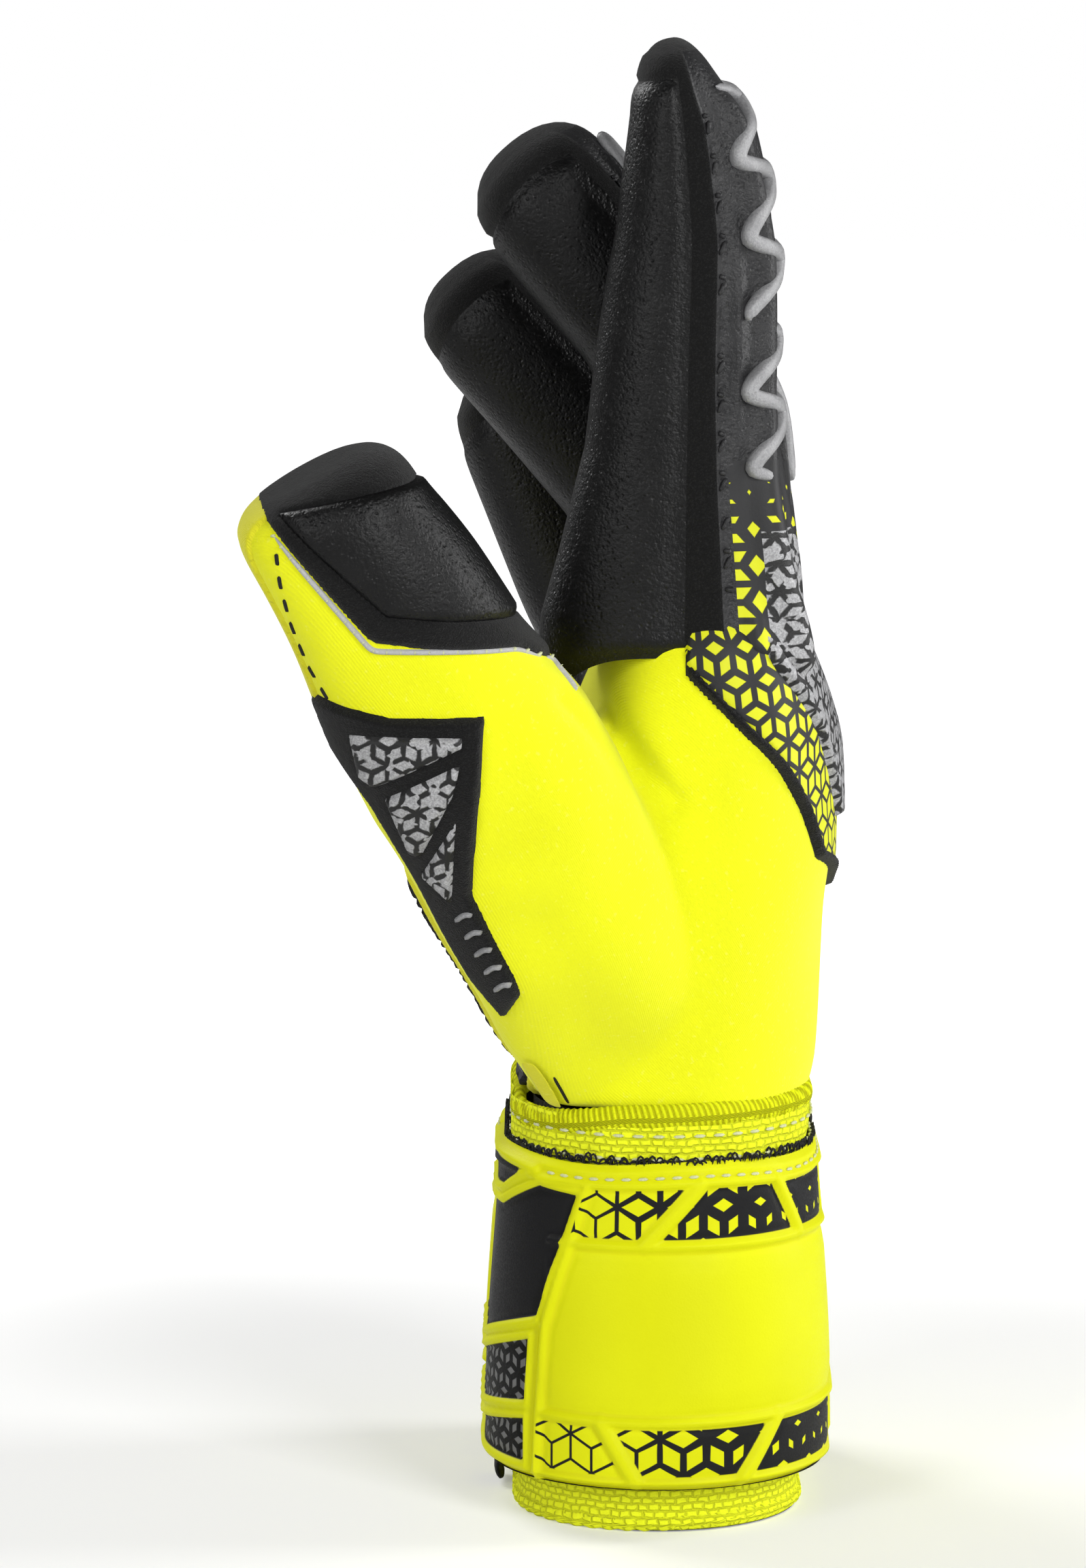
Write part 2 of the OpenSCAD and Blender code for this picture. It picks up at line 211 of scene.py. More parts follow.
def ride_on(body):
    """A placing function: the piece rides on one body."""
    return lambda piece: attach(piece, body)


def outward(co, quads):
    """Quads turned so that the surface faces away from its own middle."""
    a, b, c, d = (co[quads[:, k]] for k in range(4))
    face = np.cross(c - a, d - b)
    middle = co[quads].mean(axis=1) - co.mean(axis=0)
    return quads if (face * middle).sum() > 0 else quads[:, ::-1].copy()


def ribbon(points, normals, half_width, height, taper=1.0, sides=10):
    """A raised rounded strip along a path on a surface. Returns points and quads."""
    p = np.asarray(points, float)
    n = unit(np.asarray(normals, float))
    tangent = unit(np.gradient(p, axis=0))
    side = unit(np.cross(n, tangent))
    count = len(p)
    along = np.linspace(-1, 1, count)
    end = np.sqrt(np.clip(1 - np.abs(along) ** (6 / taper), 0, 1))
    angles = np.linspace(0, 2 * math.pi, sides, endpoint=False)
    ring = []
    for angle in angles:
        s = math.copysign(abs(math.cos(angle)) ** 0.7, math.cos(angle))
        h = math.copysign(abs(math.sin(angle)) ** 0.7, math.sin(angle))
        ring.append(p + side * (s * half_width * end)[:, None] + n * (h * height * end)[:, None])
    co = np.stack(ring, axis=1).reshape(-1, 3)
    quads = grid_faces(count, sides, True)
    return co, outward(co, quads)


def join(parts):
    """Joins (points, quads) pairs into one pair."""
    co, quads, shift = [], [], 0
    for c, q in parts:
        co.append(c)
        quads.append(q + shift)
        shift += len(c)
    return np.concatenate(co), np.concatenate(quads)


def place_one(name, co, quads, material, place, slot, uv=None):
    """One piece of one material."""
    piece = make_piece(name, co, quads, [material], attributes=None if uv is None else {"uv_mm": uv})
    place(piece)
    return piece


def place_groups(name, groups, material, places, slot):
    """One piece for each label's list of (points, quads) parts."""
    for label, parts in groups.items():
        if parts:
            place_one(f"{name}_{label}", *join(parts), material, places[label], slot)


# ------------------------------------------------------------------ materials
class Graph:
    """A small helper for writing node materials as expressions."""

    def __init__(self, name):
        self.material = bpy.data.materials.new(name)
        self.material.use_nodes = True
        self.tree = self.material.node_tree
        self.nodes = self.tree.nodes
        self.surface = self.nodes["Principled BSDF"]

    def put(self, node, index, value):
        if isinstance(value, bpy.types.NodeSocket):
            self.tree.links.new(value, node.inputs[index])
        elif value is not None:
            node.inputs[index].default_value = value

    def math(self, op, a, b=None):
        node = self.nodes.new("ShaderNodeMath")
        node.operation = op
        self.put(node, 0, a)
        self.put(node, 1, b)
        return node.outputs[0]

    def add(self, a, b):
        return self.math("ADD", a, b)

    def sub(self, a, b):
        return self.math("SUBTRACT", a, b)

    def mul(self, a, b):
        return self.math("MULTIPLY", a, b)

    def vector(self, op, a, b=None, c=None):
        node = self.nodes.new("ShaderNodeVectorMath")
        node.operation = op
        for i, value in enumerate((a, b, c)):
            self.put(node, i, value)
        return node.outputs["Value" if op in ("DOT_PRODUCT", "LENGTH", "DISTANCE") else "Vector"]

    def attribute(self, name):
        node = self.nodes.new("ShaderNodeAttribute")
        node.attribute_name = name
        return node

    def point(self, name="rest"):
        return self.attribute(name).outputs["Vector"]

    def axis(self, where, axis):
        node = self.nodes.new("ShaderNodeSeparateXYZ")
        self.put(node, 0, where)
        return node.outputs[axis]

    def combine(self, x, y, z=0.0):
        node = self.nodes.new("ShaderNodeCombineXYZ")
        for i, v in enumerate((x, y, z)):
            self.put(node, i, v)
        return node.outputs[0]

    def noise(self, where, size, detail=2.0, rough=0.5):
        """Noise whose features are about size millimetres."""
        node = self.nodes.new("ShaderNodeTexNoise")
        self.put(node, "Vector", where)
        self.put(node, "Scale", 1.0 / size)
        self.put(node, "Detail", detail)
        self.put(node, "Roughness", rough)
        return node.outputs["Fac"]

    def cells(self, where, size):
        """Distance to the nearest of scattered points, about size millimetres apart."""
        node = self.nodes.new("ShaderNodeTexVoronoi")
        self.put(node, "Vector", where)
        self.put(node, "Scale", 1.0 / size)
        return node.outputs["Distance"]

    def ramp(self, value, low, high, out_low=0.0, out_high=1.0):
        node = self.nodes.new("ShaderNodeMapRange")
        node.interpolation_type = "SMOOTHSTEP"
        for i, v in enumerate((value, low, high, out_low, out_high)):
            self.put(node, i, v)
        return node.outputs[0]

    def mix(self, factor, a, b):
        node = self.nodes.new("ShaderNodeMix")
        node.data_type = "RGBA"
        self.put(node, 0, factor)
        self.put(node, 6, a)
        self.put(node, 7, b)
        return node.outputs[2]

    def bump(self, height, depth, strength=1.0):
        """Bump from a height that runs 0 to 1; depth is in millimetres."""
        node = self.nodes.new("ShaderNodeBump")
        self.put(node, "Height", height)
        self.put(node, "Distance", depth * MM)
        self.put(node, "Strength", strength)
        self.tree.links.new(node.outputs[0], self.surface.inputs["Normal"])

    def finish(self, color, roughness=0.7, sheen=0.0, sheen_color=None, metallic=0.0, specular=0.5, painted_glow=0.0):
        s = self.surface
        self.put(s, "Base Color", color)
        self.put(s, "Roughness", roughness)
        self.put(s, "Metallic", metallic)
        self.put(s, "Specular IOR Level", specular)
        self.put(s, "Sheen Weight", sheen)
        if sheen_color:
            self.put(s, "Sheen Tint", sheen_color)
        # Emission on a surface that is no lamp: a painted glow
        if painted_glow:
            self.put(s, "Emission Color", color)
            self.put(s, "Emission Strength", painted_glow)
        return self.material


NEON = (0.84, 0.87, 0.008, 1)
NEON_DEEP = (0.62, 0.60, 0.004, 1)
STRAP_YELLOW = (0.70, 0.725, 0.003, 1)
BLACK = (0.006, 0.006, 0.006, 1)
INK = (0.012, 0.012, 0.013, 1)


def cube_lattice(g, u, v, pitch):
    """Distance in millimetres to the lines of a hexagon lattice whose cells are drawn as cubes."""
    tall = math.sqrt(3)
    p = g.combine(g.math("DIVIDE", u, pitch), g.math("DIVIDE", v, pitch))
    period, half = (1, tall, 1), (0.5, tall / 2, 0)

    def fold(where):
        return g.vector("SUBTRACT", g.vector("WRAP", where, period, (0, 0, 0)), half)

    a = fold(p)
    b = fold(g.vector("SUBTRACT", p, half))
    flat_a, flat_b = g.vector("MULTIPLY", a, (1, 1, 0)), g.vector("MULTIPLY", b, (1, 1, 0))
    nearer = g.math("LESS_THAN", g.vector("LENGTH", flat_a), g.vector("LENGTH", flat_b))
    pick = g.nodes.new("ShaderNodeMix")
    pick.data_type = "VECTOR"
    g.put(pick, 0, nearer)
    g.put(pick, 4, flat_b)
    g.put(pick, 5, flat_a)
    cell = pick.outputs[1]
    size = g.vector("ABSOLUTE", cell)
    across = g.vector("DOT_PRODUCT", size, (0.5, tall / 2, 0))
    edge = g.sub(0.5, g.math("MAXIMUM", g.axis(size, 0), across))
    best = edge
    for degrees in (90, 210, 330):
        c, s = math.cos(math.radians(degrees)), math.sin(math.radians(degrees))
        behind = g.math("LESS_THAN", g.vector("DOT_PRODUCT", cell, (c, s, 0)), 0.0)
        off = g.math("ABSOLUTE", g.vector("DOT_PRODUCT", cell, (-s, c, 0)))
        best = g.math("MINIMUM", best, g.add(off, behind))
    return g.mul(best, pitch)


def knit_material(name, color, deep):
    """Brushed tricot knit: fine ribs, soft pile with painted shade in its low spots, slow changes of tone and
    a painted glow.
    """
    g = Graph(name)
    rest = g.point()
    ribs = g.nodes.new("ShaderNodeTexWave")
    ribs.wave_profile = "SIN"
    ribs.bands_direction = "DIAGONAL"
    g.put(ribs, "Vector", rest)
    g.put(ribs, "Scale", 1.15)
    g.put(ribs, "Distortion", 1.2)
    g.put(ribs, "Detail", 2.0)
    g.put(ribs, "Detail Scale", 1.6)
    pile = g.noise(rest, 0.45, 3.0, 0.65)
    slow = g.noise(rest, 22.0, 2.0)
    speck = g.ramp(g.noise(rest, 0.9, 1.0), 0.62, 0.78)
    g.bump(g.add(g.mul(ribs.outputs["Fac"], 0.3), g.mul(pile, 0.8)), 0.16, 0.8)
    tone = g.mix(g.ramp(slow, 0.3, 0.75, 0.0, 0.16), color, deep)
    # painted shade: darker where the pile is low
    tone = g.mix(g.mul(g.sub(1.0, pile), 0.22), tone, deep)
    tone = g.mix(g.mul(speck, 0.12), tone, (1, 1, 0.35, 1))
    # the emission is a painted glow
    return g.finish(tone, 0.85, sheen=0.25, sheen_color=(1, 1, 0.6, 1), specular=0.14, painted_glow=0.07)


def latex_material(name, tone=(0.0025, 0.0025, 0.0026, 1), worn=(0.0055, 0.0055, 0.0056, 1)):
    """Foam latex with a fine leathery grain and tiny pale specks painted in as glints."""
    g = Graph(name)
    rest = g.point()
    grain = g.noise(rest, 0.75, 3.0, 0.6)
    pores = g.ramp(g.cells(rest, 1.1), 0.05, 0.4)
    wrinkle = g.noise(rest, 7.0, 3.0, 0.55)
    # pale specks that stand in for glints: painted glints
    painted_glints = g.ramp(g.cells(rest, 2.6), 0.0, 0.07, 1.0, 0.0)
    height = g.add(g.mul(grain, 0.8), g.mul(pores, 0.35))
    height = g.add(height, g.mul(wrinkle, 0.5))
    g.bump(height, 0.3, 1.0)
    color = g.mix(g.ramp(wrinkle, 0.3, 0.8), tone, worn)
    color = g.mix(g.mul(painted_glints, 0.25), color, (0.25, 0.25, 0.25, 1))
    rough = g.ramp(grain, 0.3, 0.8, 0.32, 0.48)
    return g.finish(color, rough, specular=0.25)


def flock_material(name, color=(0.004, 0.004, 0.004, 1)):
    """Short dull pile, as on the bands and pull loops, with a painted highlight on the raised pile tips."""
    g = Graph(name)
    rest = g.point()
    pile = g.noise(rest, 0.35, 4.0, 0.7)
    clumps = g.noise(rest, 1.6, 2.0)
    g.bump(g.add(pile, g.mul(clumps, 0.6)), 0.35, 1.0)
    # painted highlight: the raised pile tips are drawn lighter
    tone = g.mix(g.ramp(pile, 0.45, 0.8, 0.0, 0.6), color, (0.03, 0.03, 0.03, 1))
    return g.finish(tone, 0.95, sheen=0.25, sheen_color=(0.5, 0.5, 0.5, 1), specular=0.15)


def silver_material(name, tone=(0.26, 0.26, 0.265, 1)):
    """Printed silver silicone with a coarse sparkle."""
    g = Graph(name)
    rest = g.point()
    grit = g.noise(rest, 0.42, 3.0, 0.7)
    patches = g.noise(rest, 4.0, 2.0)
    g.bump(grit, 0.14, 0.8)
    color = g.mix(g.ramp(grit, 0.35, 0.7, 0.0, 0.5), tone, (0.50, 0.50, 0.51, 1))
    color = g.mix(g.ramp(patches, 0.4, 0.8, 0.0, 0.35), color, (0.14, 0.14, 0.145, 1))
    return g.finish(color, g.ramp(grit, 0.3, 0.7, 0.38, 0.62), metallic=0.25, specular=0.5)


def silver_lattice_material(name, pitch=5.2):
    """Silver pad on black with the cube lattice cut through it and worn spots."""
    g = Graph(name)
    rest = g.point()
    at = g.point("uv_mm")
    u, v = g.axis(at, 0), g.axis(at, 1)
    lines = cube_lattice(g, u, v, pitch)
    worn = g.noise(rest, 2.4, 2.0)
    width = g.ramp(worn, 0.35, 0.7, 0.3, 0.58)
    cut = g.ramp(g.sub(lines, width), -0.12, 0.12, 1.0, 0.0)
    broken = g.ramp(g.noise(g.combine(u, v, 7.0), 2.1, 1.0), 0.56, 0.6, 1.0, 0.0)
    cut = g.mul(cut, broken)
    grit = g.noise(rest, 0.4, 3.0, 0.7)
    g.bump(g.sub(g.mul(grit, 0.3), cut), 0.35, 1.0)
    silver = g.mix(g.ramp(grit, 0.35, 0.7), (0.26, 0.26, 0.265, 1), (0.50, 0.50, 0.51, 1))
    color = g.mix(cut, silver, BLACK)
    return g.finish(color, 0.5, metallic=0.15, specular=0.5)


def print_material(name, pitch, thin, thick):
    """Yellow silicone with the cube lattice printed in black; attribute "ink" sets the line width."""
    g = Graph(name)
    rest = g.point()
    at = g.point("uv_mm")
    ink = g.attribute("ink").outputs["Fac"]
    lines = cube_lattice(g, g.axis(at, 0), g.axis(at, 1), pitch)
    width = g.add(thin, g.mul(ink, thick - thin))
    mask = g.ramp(g.sub(lines, width), -0.07, 0.07, 1.0, 0.0)
    fine = g.noise(rest, 0.5, 2.0)
    g.bump(g.add(g.mul(fine, 0.3), mask), 0.12, 0.7)
    return g.finish(g.mix(mask, STRAP_YELLOW, INK), 0.55, specular=0.4)


def strap_material(name):
    """Smooth satin foam in neon yellow with the printed bands, painted shade at the foot of each rib and a
    painted glow on the yellow.
    """
    g = Graph(name)
    rest = g.point()
    at = g.point("uv_mm")
    u, v = g.axis(at, 0), g.axis(at, 1)
    fine = g.noise(rest, 0.38, 3.0, 0.6)
    slow = g.noise(rest, 26.0, 2.0)
    lines = cube_lattice(g, u, v, 8.4)
    ink = g.attribute("ink").outputs["Fac"]
    heavy = g.ramp(g.add(ink, g.mul(g.noise(at, 9.0, 1.0), 0.25)), 0.1, 1.1, 0.26, 1.65)
    black = g.ramp(g.sub(lines, heavy), -0.06, 0.06, 1.0, 0.0)
    band, panel, grey = [g.ramp(g.attribute(key).outputs["Fac"], -0.12, 0.12, 1.0, 0.0)
                         for key in ("band", "panel", "grey")]
    printed = g.mul(black, band)
    base = g.mix(g.ramp(slow, 0.3, 0.7, 0.0, 0.25), STRAP_YELLOW, (0.58, 0.58, 0.002, 1))
    base = g.mix(g.mul(fine, 0.12), base, NEON_DEEP)
    # painted shade at the foot of each rib, where the foam dips beside it
    groove = g.math("ABSOLUTE", g.sub(g.attribute("rib").outputs["Fac"], 1.25))
    base = g.mix(g.ramp(groove, 0.1, 0.6, 0.45, 0.0), base, NEON_DEEP)
    grey_lines = g.ramp(g.sub(cube_lattice(g, u, v, 5.0), 0.6), -0.1, 0.1, 1.0, 0.0)
    grey_tone = g.mix(grey_lines, (0.17, 0.17, 0.172, 1), BLACK)
    color = g.mix(printed, base, INK)
    color = g.mix(panel, color, (0.011, 0.011, 0.012, 1))
    color = g.mix(grey, color, grey_tone)
    height = g.add(g.mul(fine, 0.35), g.mul(printed, 0.6))
    height = g.sub(height, g.mul(grey_lines, grey))
    g.bump(height, 0.14, 0.8)
    # painted glow on the yellow foam, left off the dark print and panels
    dark = g.math("MAXIMUM", panel, g.math("MAXIMUM", grey, printed))
    painted_glow = g.mul(g.sub(1.0, dark), 0.07)
    return g.finish(color, g.ramp(fine, 0.3, 0.7, 0.42, 0.6), specular=0.12, painted_glow=painted_glow)


def elastic_material(name):
    """Woven elastic: short raised floats in a brick layout, painted shade in the gaps between them and a
    painted glow.
    """
    g = Graph(name)
    rest = g.point()
    at = g.point("uv_mm")
    loose = g.nodes.new("ShaderNodeTexNoise")
    g.put(loose, "Vector", at)
    g.put(loose, "Scale", 0.45)
    g.put(loose, "Detail", 2.0)
    sway = g.vector("MULTIPLY", g.vector("SUBTRACT", loose.outputs["Color"], (0.5, 0.5, 0.5)), (1.6, 1.1, 0))
    brick = g.nodes.new("ShaderNodeTexBrick")
    g.put(brick, "Vector", g.vector("ADD", at, sway))
    g.put(brick, "Scale", 1.0)
    g.put(brick, "Color1", (1, 1, 1, 1))
    g.put(brick, "Color2", (0.72, 0.72, 0.72, 1))
    g.put(brick, "Mortar", (0, 0, 0, 1))
    g.put(brick, "Mortar Size", 0.34)
    g.put(brick, "Mortar Smooth", 0.9)
    g.put(brick, "Brick Width", 2.1)
    g.put(brick, "Row Height", 1.35)
    weave = brick.outputs["Color"]
    grey = g.nodes.new("ShaderNodeRGBToBW")
    g.put(grey, 0, weave)
    fuzz = g.noise(rest, 0.3, 3.0, 0.7)
    g.bump(g.add(grey.outputs[0], g.mul(fuzz, 0.45)), 0.42, 1.0)
    # painted shade: the gaps between the floats are drawn darker
    tone = g.mix(g.ramp(grey.outputs[0], 0.0, 0.6), (0.62, 0.66, 0.004, 1), (0.86, 0.93, 0.01, 1))
    tone = g.mix(g.mul(fuzz, 0.2), tone, (0.95, 1.0, 0.12, 1))
    # the emission is a painted glow
    return g.finish(tone, 0.9, sheen=0.08, sheen_color=(1, 1, 0.3, 1), specular=0.08, painted_glow=0.10)


def cord_material(name, color, deep, pitch=1.1):
    """Thread wound over an edge: close slanting turns, painted shade between them and a painted glow."""
    g = Graph(name)
    rest = g.point()
    at = g.point("uv_mm")
    turns = g.math("SINE", g.mul(g.axis(at, 0), 2 * math.pi / pitch))
    fuzz = g.noise(rest, 0.3, 2.0, 0.7)
    g.bump(g.add(g.mul(turns, 0.5), fuzz), 0.4, 1.0)
    # painted shade: darker in the troughs between the turns
    tone = g.mix(g.ramp(turns, -0.9, 0.6), deep, color)
    # the emission is a painted glow
    return g.finish(tone, 0.85, specular=0.1, painted_glow=0.08)


def pile_material(name):
    """Black looped pile."""
    g = Graph(name)
    rest = g.point()
    loops = g.cells(rest, 0.9)
    fuzz = g.noise(rest, 0.3, 3.0, 0.8)
    g.bump(g.add(loops, fuzz), 0.6, 1.0)
    tone = g.mix(fuzz, (0.002, 0.002, 0.002, 1), (0.03, 0.03, 0.03, 1))
    return g.finish(tone, 1.0, sheen=0.3, sheen_color=(0.3, 0.3, 0.3, 1), specular=0.1)


def thread_material(name, color):
    """Plain sewing thread."""
    g = Graph(name)
    twist = g.noise(g.point(), 0.25, 2.0)
    g.bump(twist, 0.15, 1.0)
    tone = g.mix(twist, color, tuple(c * 0.7 for c in color[:3]) + (1,))
    return g.finish(tone, 0.6, specular=0.3)


KNIT = knit_material("yellow_knit", NEON, NEON_DEEP)
FUZZ = knit_material("yellow_brushed_binding", (0.72, 0.70, 0.02, 1), (0.40, 0.36, 0.01, 1))
LATEX = latex_material("black_latex")
PALM = latex_material("palm_latex", (0.008, 0.008, 0.0083, 1), (0.016, 0.016, 0.0165, 1))
BACKHAND = latex_material("dark_embossed_foam", (0.020, 0.020, 0.021, 1), (0.035, 0.035, 0.036, 1))
FLOCK = flock_material("black_flock")
SILVER = silver_material("silver_silicone")
LATTICE = silver_lattice_material("silver_lattice")
HEX = print_material("lattice_print", 6.8, 0.34, 1.0)
STRAP = strap_material("strap_foam")
ELASTIC = elastic_material("woven_elastic")
CORD = cord_material("yellow_overlock", (0.84, 0.90, 0.01, 1), (0.50, 0.50, 0.004, 1))
PILE = pile_material("black_pile")
WHITE_THREAD = thread_material("pale_thread", (0.75, 0.78, 0.45, 1))
GREY_THREAD = thread_material("grey_thread", (0.55, 0.55, 0.55, 1))
BLACK_THREAD = thread_material("black_thread", (0.01, 0.01, 0.01, 1))


# ------------------------------------------------------------------ hand body
# The wrist and hand are a stack of superellipses: middle, half depth and half width by height
def hand_middle(z):
    return curve(z, [(70, 2.0), (80, 1.6), (86, 2.8), (100, 5.6), (125, 8), (150, 8), (165, 7), (182, 6)])


def hand_depth(z):
    return curve(z, [(70, 26.6), (80, 27.4), (86, 27.4), (100, 25.6), (125, 25.2), (150, 24), (160, 22.2),
                     (168, 19), (174, 11)])


def hand_width(z):
    return curve(z, [(70, 41), (80, 41.2), (86, 41.6), (100, 43.5), (125, 49.5), (150, 53), (160, 52.5),
                     (168, 49), (174, 38)])


RING_POWER = 2.5
# Arc length round the hand from the thumb-side edge (0) towards the back (positive) or the palm (negative)
HALF_TURN = np.linspace(-math.pi / 2, math.pi / 2, 400)
HALF_ARC = arc_length(np.stack([24.2 * soft_power(np.cos(HALF_TURN), RING_POWER),
                                51.0 * soft_power(np.sin(HALF_TURN), RING_POWER)], -1))


def ring_length(x, y, z):
    """Arc length of a point near the hand's surface."""
    u = np.abs(x - hand_middle(z)) / hand_depth(z)
    w = np.asarray(y) / hand_width(z)
    angle = np.arctan2(soft_power(w, 4 / RING_POWER), u ** (RING_POWER / 2))
    s = np.interp(angle, HALF_TURN, HALF_ARC)
    return np.where(x >= hand_middle(z), s, -s)


def side_point(x, z):
    """(arc length, height) of a thumb-side surface point seen at x, z."""
    u = float(np.clip(abs(x - hand_middle(z)) / hand_depth(z), 0, 1))
    y = -hand_width(z) * (1 - u ** RING_POWER) ** (1 / RING_POWER)
    return (float(ring_length(np.array(x), np.array(y), np.array(z))), z)


def loft(rings):
    """Closed skin over equal rings of points, ends filled to a middle point."""
    rows, cols = rings.shape[:2]
    co = rings.reshape(-1, 3)
    quads = grid_faces(rows, cols, True)
    ends = []
    for row, extra in ((0, len(co)), (rows - 1, len(co) + 1)):
        i = np.arange(cols)
        ends.append(np.stack([row * cols + (i + 1) % cols, row * cols + i, np.full(cols, extra),
                              np.full(cols, extra)], -1))
    co = np.concatenate([co, rings[0].mean(0, keepdims=True), rings[-1].mean(0, keepdims=True)])
    ends[1] = ends[1][:, [1, 0, 2, 3]]
    return co, np.concatenate([quads, ends[0], ends[1]])


def hand_loft():
    """The wrist and palm without thumb and fingers."""
    a = np.linspace(0, 2 * math.pi, 96, endpoint=False)
    rings = []
    for z in np.concatenate([np.arange(80, 166, 3.0), [168, 170, 172, 173.5, 174.5]]):
        x = hand_middle(z) + hand_depth(z) * soft_power(np.cos(a), RING_POWER)
        y = hand_width(z) * soft_power(np.sin(a), RING_POWER)
        # the knuckle line falls from the index finger to the little finger
        drop = np.clip((z - 95) / 80, 0, 1) * (6 + 14 * y / 50)
        rings.append(np.stack([x, y, z - drop], -1))
    return loft(np.array(rings))


# Thumb: x, y, z of the middle line, half width across the view and half depth
THUMB = [
    (-5.5, -26, 91, 19.5, 14), (-11, -34, 103.5, 21.8, 15.5), (-17.6, -42, 118, 21.8, 17.5),
    (-25, -49, 134, 22.6, 18.5), (-34.2, -56, 150, 22.8, 18), (-42.9, -61.5, 164.2, 20.3, 17),
    (-50.6, -66.5, 178.2, 18.5, 16), (-58.1, -70.5, 190.8, 16.6, 14.8), (-60.9, -71.8, 196.2, 16.4, 14.4),
    (-62.3, -72.5, 198.9, 15.9, 13.0), (-63.2, -73.0, 200.9, 14.3, 11.0), (-63.9, -73.3, 202.2, 10.2, 7.0),
]


def thumb_loft():
    """The thumb, from the heel of the hand to its tip."""
    table = sample(np.linspace(0, len(THUMB) - 1, 70), np.arange(len(THUMB)), THUMB)
    line, r_view, r_deep = table[:, :3], table[:, 3], table[:, 4]
    tangent = unit(np.gradient(line, axis=0))
    tangent = unit(np.array([np.mean(tangent[max(0, i - 5):i + 6], axis=0) for i in range(len(tangent))]))
    view = np.array([0.0, 1.0, 0.0])
    across = unit(np.cross(view, tangent))
    deep = unit(np.cross(tangent, across))
    a = np.linspace(0, 2 * math.pi, 56, endpoint=False)
    c, s = soft_power(np.cos(a), 2.4), soft_power(np.sin(a), 2.4)
    rings = (line[:, None] + across[:, None] * (c[None, :, None] * r_view[:, None, None])
             + deep[:, None] * (s[None, :, None] * r_deep[:, None, None]))
    return loft(rings)


def web_blob():
    """Fills the web between thumb and hand."""
    a = np.linspace(0, 2 * math.pi, 32, endpoint=False)
    rings = []
    for t in np.linspace(-0.96, 0.96, 15):
        r = math.sqrt(1 - t * t)
        rings.append(np.stack([-14 + 13 * r * np.cos(a) + 3 * t, -40 + 10.5 * r * np.sin(a),
                               138 + 17 * t + 0 * a], -1))
    return loft(np.array(rings))


def fuse(parts, voxel, rounds):
    """Union of closed skins as one even, softened mesh. Returns points and quads."""
    objects = [make_piece(f"form_{i}", co, outward(co, quads), []) for i, (co, quads) in enumerate(parts)]
    bpy.ops.object.select_all(action="DESELECT")
    for obj in objects:
        obj.select_set(True)
    bpy.context.view_layer.objects.active = objects[0]
    bpy.ops.object.join()
    obj = objects[0]
    remesh = obj.modifiers.new("remesh", "REMESH")
    remesh.mode = "VOXEL"
    remesh.voxel_size = voxel * MM
    relax = obj.modifiers.new("relax", "SMOOTH")
    relax.factor = 0.5
    relax.iterations = rounds
    mesh = obj.evaluated_get(bpy.context.evaluated_depsgraph_get()).to_mesh()
    co = np.empty(len(mesh.vertices) * 3, np.float32)
    mesh.vertices.foreach_get("co", co)
    quads = []
    for polygon in mesh.polygons:
        corners = list(polygon.vertices)
        quads.append(corners if len(corners) == 4 else corners + [corners[-1]] * (4 - len(corners)))
    co = co.reshape(-1, 3).astype(float) / MM
    bpy.data.objects.remove(obj)
    return co, np.array(quads)


THUMB_OUT = unit(np.array([-0.80, -0.45, 0.40]))
THUMB_UP = unit(HINGE["thumb_tip_flex"] - HINGE["thumb_base_flex"])
THUMB_FROM, THUMB_SPLIT = 100.0, 31.0
WRIST_TOP = 96.0


def hand_labels(co, quads):
    """0 wrist, 1 hand, 2 lower thumb, 3 upper thumb: which joint each face of the hand's skin belongs to."""
    middle = co[quads].mean(axis=1)
    out = middle @ THUMB_OUT
    up = (middle - HINGE["thumb_base_flex"]) @ THUMB_UP
    label = np.where(middle[:, 2] < WRIST_TOP + 1, 0, 1)
    label = np.where(out > THUMB_FROM, 2, label)
    return np.where((out > THUMB_FROM) & (up > THUMB_SPLIT), 3, label)


THUMB_ROOT = np.array([-31.0, -50.0, 132.0])
THUMB_ROOT = THUMB_ROOT + THUMB_OUT * (THUMB_FROM + 1 - THUMB_ROOT @ THUMB_OUT)
HAND_PLACE = {
    0: blend_between(),
    1: ride_on("hand"),
    2: blend_between(),
    3: blend_between(),
}

VOXEL = 0.85
BASE, BASE_QUADS = fuse([hand_loft(), thumb_loft(), web_blob()], VOXEL, int(26 / VOXEL ** 2))
BASE_QUADS = outward(BASE, BASE_QUADS)
NORMAL = vertex_normals(BASE, BASE_QUADS)


def soften(values, rounds=3):
    """Averages a value over the base mesh's neighbours."""
    for _ in range(rounds):
        total = np.zeros_like(values)
        count = np.zeros(len(values))
        for k in range(4):
            a, b = BASE_QUADS[:, k], BASE_QUADS[:, (k + 1) % 4]
            np.add.at(total, a, values[b])
            np.add.at(total, b, values[a])
            np.add.at(count, a, 1)
            np.add.at(count, b, 1)
        mean = total / np.maximum(count, 1).reshape([-1] + [1] * (values.ndim - 1))
        values = 0.5 * values + 0.5 * mean
    return values


SOFT_NORMAL = unit(soften(NORMAL, int(16 / VOXEL ** 2)))


def crease(line, depth, width, sharp=1.0):
    """A fold pressed into the thumb-side knit along a line in the side view."""
    d = line_distance(BASE[:, [0, 2]], line)
    facing = smooth((-SOFT_NORMAL[:, 1] - 0.1) / 0.4)
    return -depth * np.exp(-(d / width) ** (2 * sharp)) * facing


